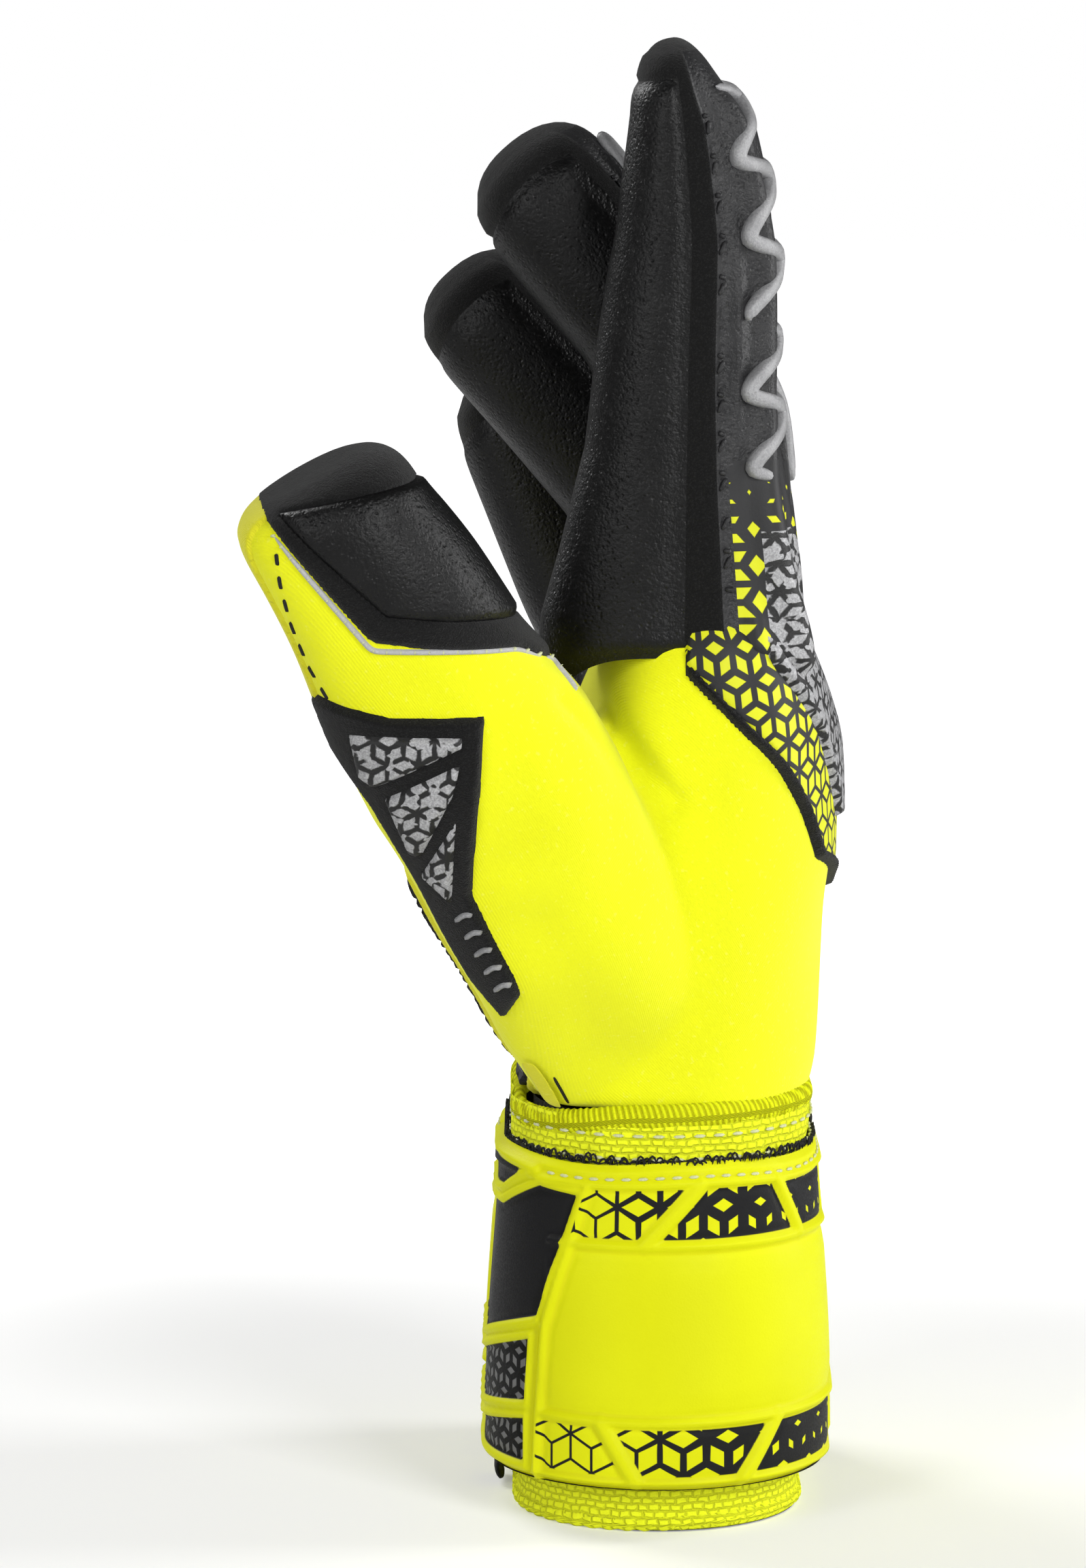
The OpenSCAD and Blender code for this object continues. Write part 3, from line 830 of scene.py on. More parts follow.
FOLDS = (crease([(-17, 162), (-10, 154), (-4, 147), (2, 140)], 1.9, 2.6)
         + crease([(-8, 148), (-9, 138), (-6, 128)], 0.6, 4.0)
         + crease([(0, 158), (5, 148), (6, 138)], 0.5, 4.0)
         + crease([(-22, 118), (-16, 104), (-12, 92)], 0.8, 5.0)
         + crease([(-30, 158), (-26, 146), (-28, 132)], 0.5, 4.0)
         - crease([(-14, 142), (-4, 132), (6, 128)], 0.5, 6.0))
WAVES = np.sin(BASE[:, 0] * 0.11 + BASE[:, 2] * 0.07) + np.sin(BASE[:, 2] * 0.13 - BASE[:, 1] * 0.09 + 1.3)
SKIN = BASE + SOFT_NORMAL * (FOLDS + 0.35 * WAVES)[:, None]
SKIN_ARC = ring_length(SKIN[:, 0], SKIN[:, 1], SKIN[:, 2])
SIDE = BASE[:, [0, 2]]
SIDE_UV = np.stack([BASE[:, 0], BASE[:, 2], 0 * BASE[:, 0]], -1)
RING_UV = np.stack([SKIN_ARC, BASE[:, 2], 0 * BASE[:, 0]], -1)


def skin_parts(name, co, quads, material, uv, attributes=None):
    """Pieces of the hand's skin, or of a layer on it, one for each joint's share."""
    used, local = compact(quads)
    extra = {key: np.asarray(values)[used] for key, values in {"uv_mm": uv, **(attributes or {})}.items()}
    labels = hand_labels(BASE[used], local)
    return make_parts(name, co[used], local, labels, [material], HAND_PLACE, extra)


def skin_panel(name, distance, thick, edge, material, low=-0.7, uv=RING_UV, attributes=None, bulge=0.0):
    """A layer on the hand's skin where distance is negative: it rises over edge mm to its thickness."""
    keep = (distance[BASE_QUADS] < 0.8).any(axis=1)
    quads = BASE_QUADS[keep]
    rise = smooth((0.45 - distance) / edge)
    height = low + (thick - low) * rise + bulge * (1 - np.exp(-np.clip(-distance, 0, 99) / 5.0))
    return skin_parts(name, SKIN + NORMAL * height[:, None], quads, material, uv, attributes)


SURFACE = BVHTree.FromPolygons([tuple(v) for v in SKIN], [tuple(q) for q in BASE_QUADS])


def on_skin(x, z):
    """Skin point and outward direction below a side-view position."""
    hit, normal, _, _ = SURFACE.ray_cast(Vector((x, -200, z)), Vector((0, 1, 0)))
    if hit is None:
        hit, normal, _, _ = SURFACE.find_nearest(Vector((x, -60, z)))
    if normal.y > 0:
        normal = -normal
    return np.array(hit), np.array(normal)


def drape(name, line, half_width, height, material, slot, dash=None, sink=0.35):
    """Rounded ribbon or dashes laid on the skin along a line given as side-view points."""
    span = arc_length(np.array(line, float))
    at = np.arange(0, span[-1], 0.5)
    found = [on_skin(x, z) for x, z in averaged(sample(at, span, line), 3)]
    points = averaged(np.array([p for p, _ in found]), 4)
    normals = unit(averaged(np.array([n for _, n in found]), 4))
    labels = hand_labels(points, np.arange(len(points))[:, None].repeat(4, axis=1))
    if dash:
        size, pitch = (max(3, int(round(d / 0.5))) for d in dash)
        runs = [(i, i + size) for i in range(0, len(at) - size, max(pitch, size + 1))]
    else:
        breaks = [0] + [i for i in range(1, len(at)) if labels[i] != labels[i - 1]] + [len(at)]
        runs = [(a, min(b + 1, len(at))) for a, b in zip(breaks[:-1], breaks[1:]) if b - a > 2]
    groups = {}
    for a, b in runs:
        label = int(labels[(a + b) // 2])
        body = points[a:b] - normals[a:b] * sink
        groups.setdefault(label, []).append(ribbon(body, normals[a:b], half_width, height + sink, sides=8))
    place_groups(name, groups, material, HAND_PLACE, slot)


def build_knit():
    """The yellow knit body with the thumb's knit sides."""
    keep = BASE_QUADS[(SKIN[BASE_QUADS][:, :, 2] > 79.0).all(axis=1)]
    parts = skin_parts("knit_body", SKIN, keep, KNIT, RING_UV)
    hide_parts("thumb_side_gusset", "little_side_gusset", "back_fabric", "thumb_gusset")
    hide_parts("thumb_proximal_back", "thumb_proximal_latex")
    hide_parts("thumb_tip_back")


# Outlines in the side view of the thumb's latex, and of the band round it; both wrap over the tip
THUMB_INNER = [(-50.4, 178), (-38, 176.4), (-24.3, 175.8), (-13.5, 170), (-2, 184)]
THUMB_LATEX = [(-73.4, 205), *THUMB_INNER, (-30, 216), (-62, 228), (-86, 218)]
THUMB_ROLL = [(-70.6, 197.0), *THUMB_INNER, (-30, 207.0), (-46.7, 202.6)]


def build_thumb_latex():
    """Latex roll over the thumb, its flocked band, cut edge, seam and knit side strip."""
    on_thumb = 97.5 - BASE @ THUMB_OUT
    roll = polygon_distance(SIDE, THUMB_ROLL)
    distance = np.maximum(roll, on_thumb)
    parts = skin_panel("thumb_latex", distance, 1.5, 2.4, LATEX, uv=SIDE_UV, bulge=0.7)
    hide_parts("thumb_tip_latex")
    band = np.maximum(polygon_distance(SIDE, THUMB_LATEX), on_thumb)
    band = np.maximum(band - 4.6, 93 - BASE @ THUMB_OUT)
    skin_panel("thumb_band", np.maximum(band, -distance - 1.2), 0.9, 1.2, FLOCK, uv=SIDE_UV)
    # the latex's cut edge shows as a pale stitched line below the band
    edge = [(-70.4, 193.6), (-61.5, 183.0), (-52.6, 172.2), (-38, 171.8),
            (-26.5, 171.3), (-19.8, 168.0), (-14.2, 162.2)]
    drape("thumb_raw_edge", edge, 0.55, 0.75, GREY_THREAD, "black_trim")
    drape("thumb_edge_stitch", edge, 0.42, 1.15, WHITE_THREAD, "black_trim", dash=(1.5, 2.7))
    seam = [(-69.6, 190.5), (-69.0, 184.3), (-67.2, 176.4), (-64.2, 168.4), (-59.6, 160.4)]
    drape("thumb_side_seam", seam, 0.42, 0.5, BLACK_THREAD, "black_trim", dash=(3.5, 4.5))
    strip = np.maximum(np.abs(BASE[:, 1] - outline_y() + 1.5) - 7.5, 20 * (NORMAL[:, 0] + 0.25))
    strip = np.maximum(strip, 159 - BASE[:, 2])
    skin_panel("thumb_side_binding", soften(strip, 2), 0.7, 1.0, FUZZ)


GUARD = [(-70, 165), (-58.4, 161.2), (-49.5, 159.4), (-32.4, 159.6), (-33.2, 147), (-35.0, 125),
         (-31.3, 117), (-27.0, 108.4), (-26.0, 105), (-29.2, 99.4), (-35.0, 107.6), (-41.0, 118.4),
         (-46.8, 129.6), (-53, 142), (-63, 157)]
GUARD_PADS = [
    [(-56.8, 156.8), (-36.4, 156.4), (-36.4, 154.2), (-52.0, 146.4), (-54.8, 148.6)],
    [(-50.4, 144.8), (-36.6, 151.8), (-38.0, 145.4), (-43.8, 132.8), (-46.2, 133.6)],
    [(-37.4, 141.6), (-38.2, 123.2), (-44.2, 129.2)],
]


def thumb_side():
    """Positive where the skin faces away from the thumb side."""
    return 12 * (SOFT_NORMAL[:, 1] + 0.12)


def build_guard():
    """Black guard down the outside of the thumb, with its silver pads and chevrons."""
    distance = np.maximum(polygon_distance(SIDE, GUARD), thumb_side())
    parts = skin_panel("thumb_guard", distance, 1.3, 1.3, FLOCK, uv=SIDE_UV)
    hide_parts("thumb_patch")
    pads = np.min([polygon_distance(SIDE, p) for p in GUARD_PADS], axis=0)
    pads = np.maximum(pads, thumb_side() + 1.0)
    pads = skin_panel("guard_pads", pads, 2.3, 1.4, LATTICE, low=0.3, uv=SIDE_UV)
    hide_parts("thumb_pads")
    # small generic chevrons down the guard's tail
    for k in range(5):
        x, z = -36.2 + 1.75 * k, 121.4 - 3.5 * k
        chevron = [(x - 1.5, z - 1.2), (x + 0.5, z + 1.1), (x + 2.4, z + 0.1)]
        drape(f"guard_chevron_{k}", chevron, 0.62, 2.2, SILVER, "silver")


def outline_y():
    """Depth of the palm-side outline at each skin point's height, as seen from the thumb side."""
    return np.interp(BASE[:, 2], [80, 91, 103.5, 118, 134, 150, 164, 178, 196],
                     [-12, -26, -34, -42, -49, -56, -61.5, -66.5, -71.5])


def palm_distance():
    """Negative over the palm, up to just behind the outline seen from the thumb side."""
    d = np.maximum(outline_y() - 1.0 - BASE[:, 1], 13 * (SOFT_NORMAL[:, 0] + 0.30))
    facing = np.interp(BASE[:, 2], [136, 152], [-0.6, 0.03])
    d = np.maximum(d, 13 * (facing - SOFT_NORMAL[:, 1]))
    little = np.maximum(13 * (SOFT_NORMAL[:, 0] + 0.30), -BASE[:, 1] - 5)
    d = np.where(BASE[:, 1] > 0, little, d)
    d = np.maximum(d, 82.0 - BASE[:, 2])
    return np.maximum(d, BASE @ THUMB_OUT - 106)


def build_palm():
    """Palm latex with its brushed binding and cut edge."""
    distance = soften(palm_distance(), 4)
    parts = skin_panel("palm_latex_sheet", distance, 1.8, 2.0, PALM)
    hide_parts("palm_latex")
    binding = np.maximum(np.abs(distance - 2.4) - 2.1, BASE[:, 2] - 152)
    skin_panel("palm_binding", binding, 0.9, 1.4, FUZZ)
    fringe = np.maximum(np.abs(distance - 0.3) - 0.55, BASE[:, 2] - 150)
    skin_panel("palm_raw_edge", fringe, 1.9, 0.8, BLACK_THREAD)


def build_palm_edge():
    """Raw edge of the palm sheet along the heel of the thumb, with its yellow binding."""
    tail = [(-24.8, 91.0), (-22.4, 87.0), (-19.0, 80.4)]
    drape("palm_edge_tail", tail, 1.9, 0.8, FUZZ, "knit", sink=-0.9)
    seam = [(-20.1, 87.4), (-18.4, 84.0), (-16.8, 80.6)]
    drape("palm_edge_seam", seam, 0.3, 0.5, BLACK_THREAD, "black_trim")


PIPING = [side_point(2.5, 168), side_point(9.6, 160), side_point(16.2, 153), side_point(22, 146.5),
          side_point(26.5, 137.5), side_point(29.2, 128)]
V_TIP = (74.0, 116.0)
LITTLE_SIDE = [(104.0, 128.0), (122.0, 138.0), (138.0, 150.0)]
BACK_OUTLINE = PIPING + [V_TIP] + LITTLE_SIDE + [(150, 210), (-12, 210), (-12, 172)]


def build_backhand():
    """Printed panel on the back of the hand, its rolled piping and the silver lattice inside."""
    at = RING_UV[:, :2]
    distance = np.maximum(polygon_distance(at, BACK_OUTLINE), -SKIN_ARC - 3)
    ink = 0.6 * smooth((BASE[:, 2] - 126) / 50)
    parts = skin_panel("backhand_print", distance, 1.2, 1.2, HEX, attributes={"ink": ink})
    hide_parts("backhand_panel")
    rim = np.abs(distance + 0.4) - 1.3
    parts = skin_panel("backhand_piping_roll", np.maximum(rim, -SKIN_ARC - 3), 2.0, 1.6, FLOCK)
    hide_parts("backhand_piping")
    groove = [(s + 13, z + 5) for s, z in PIPING[1:]] + [(74, 130)] + [(96, 139), (118, 149), (132, 160)]
    inner = polygon_distance(at, groove + [(134, 210), (0, 210)])
    inner = np.maximum(inner, distance + 4)
    parts = skin_panel("backhand_lattice", inner, 2.7, 1.8, LATTICE, low=0.3)
    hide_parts("backhand_pads")


# ------------------------------------------------------------------ fingers
FINGER_NAMES = ["index", "middle", "ring", "little"]
# middle lines as (x, z) from below the knuckle to the very tip
FINGER_LINE = [
    [(5, 152), (5, 174), (5, 196), (5.2, 220), (5.8, 244), (4.2, 264), (1.8, 280.4)],
    [(8, 148), (8, 169), (8.8, 190), (6.5, 209), (-1, 226.5), (-12.5, 239.5), (-22.5, 251.2), (-29.4, 258.8)],
    [(10, 138), (8, 159), (3.5, 177), (-5, 194.5), (-20.5, 212), (-34.4, 227), (-40.6, 233.6)],
    [(5, 126), (3, 146), (-6, 158), (-14, 171.5), (-21.5, 189), (-28.5, 205.5), (-31.6, 213.4)],
]
# half width; half depths towards the palm and the back along the finger
FINGER_WIDTH = [12.6, 12.6, 12.4, 11.2]
PALM_DEPTH = [
    [(-22, 28), (0, 26.0), (13, 22.4), (31, 18.0), (50, 16.0), (63, 14.4), (80, 11.4), (94, 8.4), (107, 7)],
    [(-22, 20), (0, 18), (20, 15.5), (40, 13.6), (70, 13.0), (105, 12.2)],
    [(-22, 20), (0, 17.5), (20, 14.5), (40, 12.6), (66, 12.0), (92, 11.4)],
    [(-22, 17), (0, 15.0), (20, 12.2), (32, 11.4), (52, 10.8), (76, 10.2)],
]
BACK_DEPTH = [
    [(-22, 24), (-5, 22.6), (10, 20), (26, 17), (42, 15.2), (54, 14.8), (69, 14.6), (79, 13.6), (89, 12.0),
     (97, 8.6), (107, 7)],
    [(-22, 19), (0, 18.4), (20, 16.5), (44, 15.5), (71, 15), (100, 14.4)],
    [(-22, 19), (0, 18.2), (20, 16.5), (40, 15.0), (66, 14.2), (92, 13.6)],
    [(-22, 16), (0, 15.8), (20, 14.6), (32, 13.6), (52, 12.6), (76, 12.0)],
]
LATEX_EDGES = [89.0, 124.0, 124.0, 120.0]
BAND_DEGREES = 14.0
STRIP_DEGREES = 8.0
SECTION_POWER = 2.35


class Finger:
    """Surface of one finger: t runs in mm from the knuckle, phi in degrees from the palm side."""

    def __init__(self, index):
        self.index = index
        self.name = FINGER_NAMES[index]
        keys = [f"{self.name}_knuckle", f"{self.name}_middle_joint", f"{self.name}_tip_joint"]
        self.hinges = [HINGE[k] for k in keys]
        self.y = float(self.hinges[0][1])
        self.edge = LATEX_EDGES[index]
        self.band = self.edge + BAND_DEGREES
        self.strip = self.band + STRIP_DEGREES
        span = arc_length(np.array(FINGER_LINE[index], float))
        line = sample(np.linspace(0, span[-1], 1200), span, FINGER_LINE[index])
        self.line = averaged(line, 80, mode="reflect", reflect_type="odd")
        step = np.gradient(self.line, axis=0)
        self.lean_line = np.arctan2(-step[:, 0], step[:, 1])
        arc = arc_length(self.line)
        nearest = [int(np.argmin(np.linalg.norm(self.line - h[[0, 2]], axis=1))) for h in self.hinges]
        self.t_line = arc - arc[nearest[0]]
        self.at = [float(self.t_line[i]) for i in nearest]
        self.total = float(self.t_line[-1])
        self.low = float(self.t_line[0])

    def frame_at(self, t):
        """x, z and lean angle of the middle line."""
        x = np.interp(t, self.t_line, self.line[:, 0])
        z = np.interp(t, self.t_line, self.line[:, 1])
        lean = np.interp(t, self.t_line, self.lean_line)
        return x, z, lean

    def point(self, t, phi, lift=0.0):
        """Surface point, raised by lift."""
        t, phi = np.broadcast_arrays(np.asarray(t, float), np.asarray(phi, float))
        x, z, lean = self.frame_at(t)
        a = np.radians(phi)
        c, s = soft_power(np.cos(a), SECTION_POWER), soft_power(np.sin(a), SECTION_POWER)
        dome = 20.0 if self.index == 0 else 12.0
        u = np.clip((t - (self.total - dome)) / dome, 0, 1)
        if self.index == 0:
            blunt, slope = (1 - u ** 4.2) ** (1 / 2.6), (1 - u ** 2.6) ** (1 / 2.0)
            wide = (1 - u ** 4.0) ** (1 / 2.4)
        else:
            blunt = slope = wide = (1 - u ** 2.5) ** (1 / 2.3)
        palm = curve(t, PALM_DEPTH[self.index]) * blunt
        back = curve(t, BACK_DEPTH[self.index]) * slope
        width = (FINGER_WIDTH[self.index] + 0.8 * smooth((6 - t) / 20)) * wide
        scale = 1 + lift / np.maximum(np.where(c > 0, palm, back), 4.0)
        out = np.where(c > 0, palm * c, back * c) * scale
        side = -width * s * (1 + lift / np.maximum(width, 4.0))
        return np.stack([x - np.cos(lean) * out, self.y + side, z - np.sin(lean) * out], -1)

    def normal(self, t, phi):
        dt = self.point(np.asarray(t) + 0.3, phi) - self.point(np.asarray(t) - 0.3, phi)
        dp = self.point(t, np.asarray(phi) + 1.0) - self.point(t, np.asarray(phi) - 1.0)
        return unit(np.cross(dp, dt))

    def cuts(self):
        """Stations where the finger's pieces meet: the middles of its two inner bones."""
        return [0.5 * (self.at[0] + self.at[1]), 0.5 * (self.at[1] + self.at[2])]

    def places(self):
        """Placing functions of the finger's three pieces; each bakes its transform in place."""
        out = {}
        for k in range(3):
            out[k] = blend_between()
        return out

    def label(self, t):
        return np.searchsorted(self.cuts(), t)


LATEX_TOP = 7.0
CAP_TOP = 2.6


def stations(finger):
    """Rows of the finger's mesh: one at each seam and more towards the closed tip."""
    top = finger.total
    marks = sorted([finger.low, *finger.cuts(), top - LATEX_TOP, top - CAP_TOP, top])
    out = []
    for a, b in zip(marks[:-1], marks[1:]):
        count = max(2, int(round((b - a) / 1.2)))
        out += list(np.linspace(a, b, count, endpoint=False))
    out = np.array(out + [marks[-1]])
    tail = finger.total - np.array([1.8, 1.2, 0.7, 0.4, 0.15, 0.04, 0.005])
    return np.unique(np.round(np.concatenate([out, tail]), 4))


def warp_station(finger, t, phi):
    """Rows bend with the seams: low on the palm at the knuckle, and round the tip."""
    toward_palm = np.abs(np.cos(np.radians(phi))) ** 2.0
    high = 15.0 if finger.index == 0 else 11.0
    rise = np.where(np.abs(phi) < 90, high - 10.0 * toward_palm ** 2, high - 5.0 * toward_palm)
    root = 1 - smooth((t - finger.low) / 34.0)
    top = np.interp(t, [finger.total - 30, finger.total - LATEX_TOP, finger.total - CAP_TOP, finger.total],
                    [0, 1, 0.8, 0])
    return t + root * rise - top * 4.2 * toward_palm * (finger.index > 0)


def build_finger(index):
    """One finger: latex roll, band, openwork strip, embossed back, cap and silver strokes."""
    finger = Finger(index)
    t = stations(finger)
    # rows of points round the finger meet the edges of the latex, the band and the strip
    turns = [0, finger.edge, finger.band, finger.strip, 180]
    half = [np.linspace(a, b, count)[1:] for a, b, count in zip(turns[:-1], turns[1:], (32, 5, 4, 20))]
    half = np.concatenate([[0.0], *half])
    phi = np.concatenate([half, -half[1:-1][::-1]])
    tt, pp = np.meshgrid(t, phi, indexing="ij")
    warped = warp_station(finger, tt, pp)
    width = FINGER_WIDTH[index]
    top = finger.total - LATEX_TOP
    # distance in mm inside the latex roll's edge
    side_in = (finger.edge - np.abs(pp)) * math.radians(1) * width * 0.95
    inside = np.minimum(side_in, top - tt)
    lift = np.where(inside > 0, 1.3 * (1 - np.exp(-np.clip(inside, 0, 99) / 1.6)), 0.0)
    in_band = (inside <= 0) & (np.abs(pp) <= finger.band + 0.1) & (tt <= finger.total - CAP_TOP + 0.1)
    lift = np.where(in_band, 0.55, lift)
    # embossed ridges on the back
    back = smooth((np.abs(pp) - finger.strip - 3) / 8) * smooth((finger.total - 6 - tt) / 8)
    swing = 9 * np.sin(tt * 0.09 + 0.8 * index)
    ridge = np.cos(np.radians((np.abs(pp) - 150 + 0.8 * swing) * 7.5))
    lift = lift + back * (0.9 + 0.95 * ridge)
    # the root sinks into the hand's skin
    lift = lift - 2.2 * (1 - smooth((tt - finger.low) / 3.5))
    co = finger.point(warped, pp, lift).reshape(-1, 3)
    quads = outward(co, grid_faces(len(t), len(phi), True))
    normals = vertex_normals(co, quads)
    mid_t = tt.reshape(-1)[quads].mean(axis=1)
    mid_phi = np.abs(pp.reshape(-1)[quads]).mean(axis=1)
    labels = finger.label(mid_t)
    cap_line = finger.total - CAP_TOP
    latex = (mid_phi < finger.edge) & (mid_t < top)
    band = ~latex & (mid_phi < finger.band) & (mid_t < cap_line)
    strip = ~latex & ~band & (mid_phi < finger.strip) & (mid_t < cap_line)
    cap = mid_t > cap_line
    rear = ~(latex | band | strip | cap)
    uv = np.stack([warped.reshape(-1), pp.reshape(-1) * 0.22, 0 * tt.reshape(-1)], -1)
    places = finger.places()
    ink = 0.45 + 2.0 * smooth((warped.reshape(-1) - 4) / 30) ** 1.5

    def part(suffix, mask, materials, face_material=None):
        surface = None if face_material is None else face_material[mask]
        return make_parts(f"{finger.name}_{suffix}", co, quads[mask], labels[mask], materials, places,
                          {"uv_mm": uv, "ink": ink}, surface, normals, numbered=True)

    rolls = part("roll", latex, [LATEX])
    part("band", band | strip, [FLOCK, BACKHAND], np.where(strip, 1, 0))
    part("cap", cap, [FLOCK])
    lower = np.where(mid_phi > 120, 30, 30 - (120 - mid_phi) * 0.25)
    surface = np.where((mid_t < lower) & rear, 1, 0)
    if index == 0:
        surface = np.where((surface == 1) & (mid_phi > 128) & (mid_t < 17), 2, surface)
    backs = part("back", rear, [BACKHAND, HEX, LATTICE], surface)
    for k, bone in enumerate(("proximal", "middle", "tip")):
        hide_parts(f"{finger.name}_{bone}_latex")
        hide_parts(f"{finger.name}_{bone}_back")
    build_figures(finger, places)
    build_openwork(finger, places)


def build_figures(finger, places):
    """Raised silver slanted strokes down the back of the finger, linked into a chain."""
    groups = {0: [], 1: [], 2: []}
    ends = [26.0] + finger.cuts() + [finger.total - 9.0]
    outer = finger.strip + 17
    for label in range(3):
        a, b = max(ends[label] + 0.5, 26.0), ends[label + 1] - 0.5
        if b - a < 8:
            continue
        path = np.arange(a, b, 0.35)
        phase = (path / 14.0) % 1.0
        swing = np.where(phase < 0.74, phase / 0.74, (1 - phase) / 0.26)
        phi = outer + (174 - outer) * smooth(swing)
        for at in (-phi, phi):
            points, normals = finger.point(path, at, 0.9), finger.normal(path, at)
            groups[label].append(ribbon(points, normals, 1.5, 1.5, taper=0.5, sides=12))
    place_groups(f"{finger.name}_chevrons", groups, SILVER, places, "silver")


def build_openwork(finger, places):
    """Row of short raised bars in the dark strip beside the latex roll."""
    groups = {0: [], 1: [], 2: []}
    for side in (-1, 1):
        for k, t in enumerate(np.arange(6, finger.total - 14, 3.6)):
            if min(abs(t - c) for c in finger.cuts()) < 2.2:
                continue
            span = np.linspace(0, 1, 7)
            phi = side * (finger.band + 1.8 + 4.6 * span)
            along = t + (2.6 if k % 2 else -0.4) * span
            bar = ribbon(finger.point(along, phi, 0.35), finger.normal(along, phi), 0.45, 0.5, sides=6)
            groups[int(finger.label(t))].append(bar)
    place_groups(f"{finger.name}_openwork", groups, BACKHAND, places, "black_trim")


# ------------------------------------------------------------------ cuff and strap
FLAT = 15.0


def stadium(s, radius, nominal):
    """Point and outward direction on a stadium; s is the arc from the thumb side at the nominal radius."""
    s = np.asarray(s, float)
    quarter = nominal * math.pi / 2
    whole = 4 * quarter + 4 * FLAT
    s = (s + whole / 2) % whole - whole / 2
    sign = np.where(s < 0, -1.0, 1.0)
    m = np.abs(s)
    past = np.maximum(m - quarter - 2 * FLAT, 0.0)
    angle = np.where(m < quarter, m / nominal, math.pi / 2 + past / nominal)
    shift = np.clip(m - quarter, 0, 2 * FLAT)
    nx, ny = np.sin(angle) * sign, -np.cos(angle)
    x, y = radius * nx, -FLAT + radius * ny + shift
    return x, y, nx, ny


def sway(z):
    """The elastic leans towards the back of the hand above the strap."""
    return 0.7 * smooth((np.asarray(z, float) - 58) / 20)


ELASTIC_R = 26.6
ELASTIC_ROUND = 2 * math.pi * ELASTIC_R + 4 * FLAT
ON_CUFF = ride_on("cuff")


def elastic_points(s, z, radius):
    """Points on the elastic's wall, and their outward directions; all three may be grids."""
    x, y, nx, ny = stadium(s, radius, ELASTIC_R)
    z = np.broadcast_to(z, x.shape)
    return np.stack([x + sway(z), y, z], -1), np.stack([nx, ny, 0 * nx], -1)


def cuff_sheet(s, z, radius):
    """Grid of points on the elastic's wall; s and z are 1-D, radius is a grid or a number."""
    ss, zz = np.meshgrid(s, z, indexing="xy")
    return elastic_points(ss, zz, np.broadcast_to(radius, ss.shape))[0].reshape(-1, 3)


def build_elastic():
    """Woven tube of the cuff and the pile inside it."""
    s = np.linspace(-ELASTIC_ROUND / 2, ELASTIC_ROUND / 2, 240, endpoint=False)
    z = np.linspace(0.3, 79.4, 92)
    ss, zz = np.meshgrid(s, z, indexing="xy")
    gather = 0.25 * np.sin(ss * 0.45 + 0.7 * np.sin(ss * 0.11)) * smooth((zz - 50) / 20)
    hem = 0.9 * np.exp(-((zz - 1.6) / 1.5) ** 2) + 0.35 * np.exp(-((zz - 10) / 1.0) ** 2)
    hem = hem - 0.6 * smooth((0.8 - zz) / 0.6)
    flare = 0.15 * np.sin(zz * 0.22 + ss * 0.05) + 1.65 * smooth((zz - 62) / 8)
    co = cuff_sheet(s, z, ELASTIC_R + gather + hem + flare)
    quads = outward(co, grid_faces(len(z), len(s), True))
    uv = np.stack([ss, zz, 0 * ss], -1).reshape(-1, 3)
    piece = place_one("elastic_cuff", co, quads, ELASTIC, ON_CUFF, "elastic", uv)
    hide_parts("cuff_elastic")
    # black lining, closed over the hem
    z = np.linspace(0.0, 79.5, 40)
    co = cuff_sheet(s, z, ELASTIC_R - 2.2)
    inner = outward(co, grid_faces(len(z), len(s), True))[:, ::-1]
    rim_co = cuff_sheet(s, np.array([0.0, 0.3]), np.array([[ELASTIC_R - 2.2], [ELASTIC_R + 0.2]]))
    co, quads = join([(co, inner), (rim_co, grid_faces(2, len(s), True))])
    lining = place_one("cuff_pile_lining", co, quads, PILE, ON_CUFF, "lining")
    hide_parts("cuff_lining", "wrist_lining")


def ring_cord(name, height, radius_add, size, material, turns=1.0):
    """A rounded cord or hem round the cuff's elastic."""
    s = np.linspace(-ELASTIC_ROUND / 2, ELASTIC_ROUND / 2, 320, endpoint=False)
    a = np.linspace(0, 2 * math.pi, 14, endpoint=False)
    ss, aa = np.meshgrid(s, a, indexing="ij")
    wobble = 0.18 * np.sin(ss * 2 * math.pi / 1.4 * turns)
    r = ELASTIC_R + radius_add + (size[0] + wobble) * np.cos(aa)
    x = stadium(ss, r, ELASTIC_R)[0]
    z = height + (size[1] + wobble) * np.sin(aa) + 0.4 * np.sin(ss * 0.07)
    # the wrist's cord dips towards the palm
    z = z - 2.5 * smooth((-x - 4) / 22) * (height > 40)
    co = elastic_points(ss, z, r)[0].reshape(-1, 3)
    rows, cols = len(s), len(a)
    i = np.arange(cols)
    n = (i + 1) % cols
    last = (rows - 1) * cols
    quads = np.concatenate([grid_faces(rows, cols, True), np.stack([last + i, last + n, n, i], -1)])
    uv = np.stack([ss + 0.6 * aa, z, 0 * ss], -1).reshape(-1, 3)
    return place_one(name, co, outward(co, quads), material, ON_CUFF, "elastic", uv)


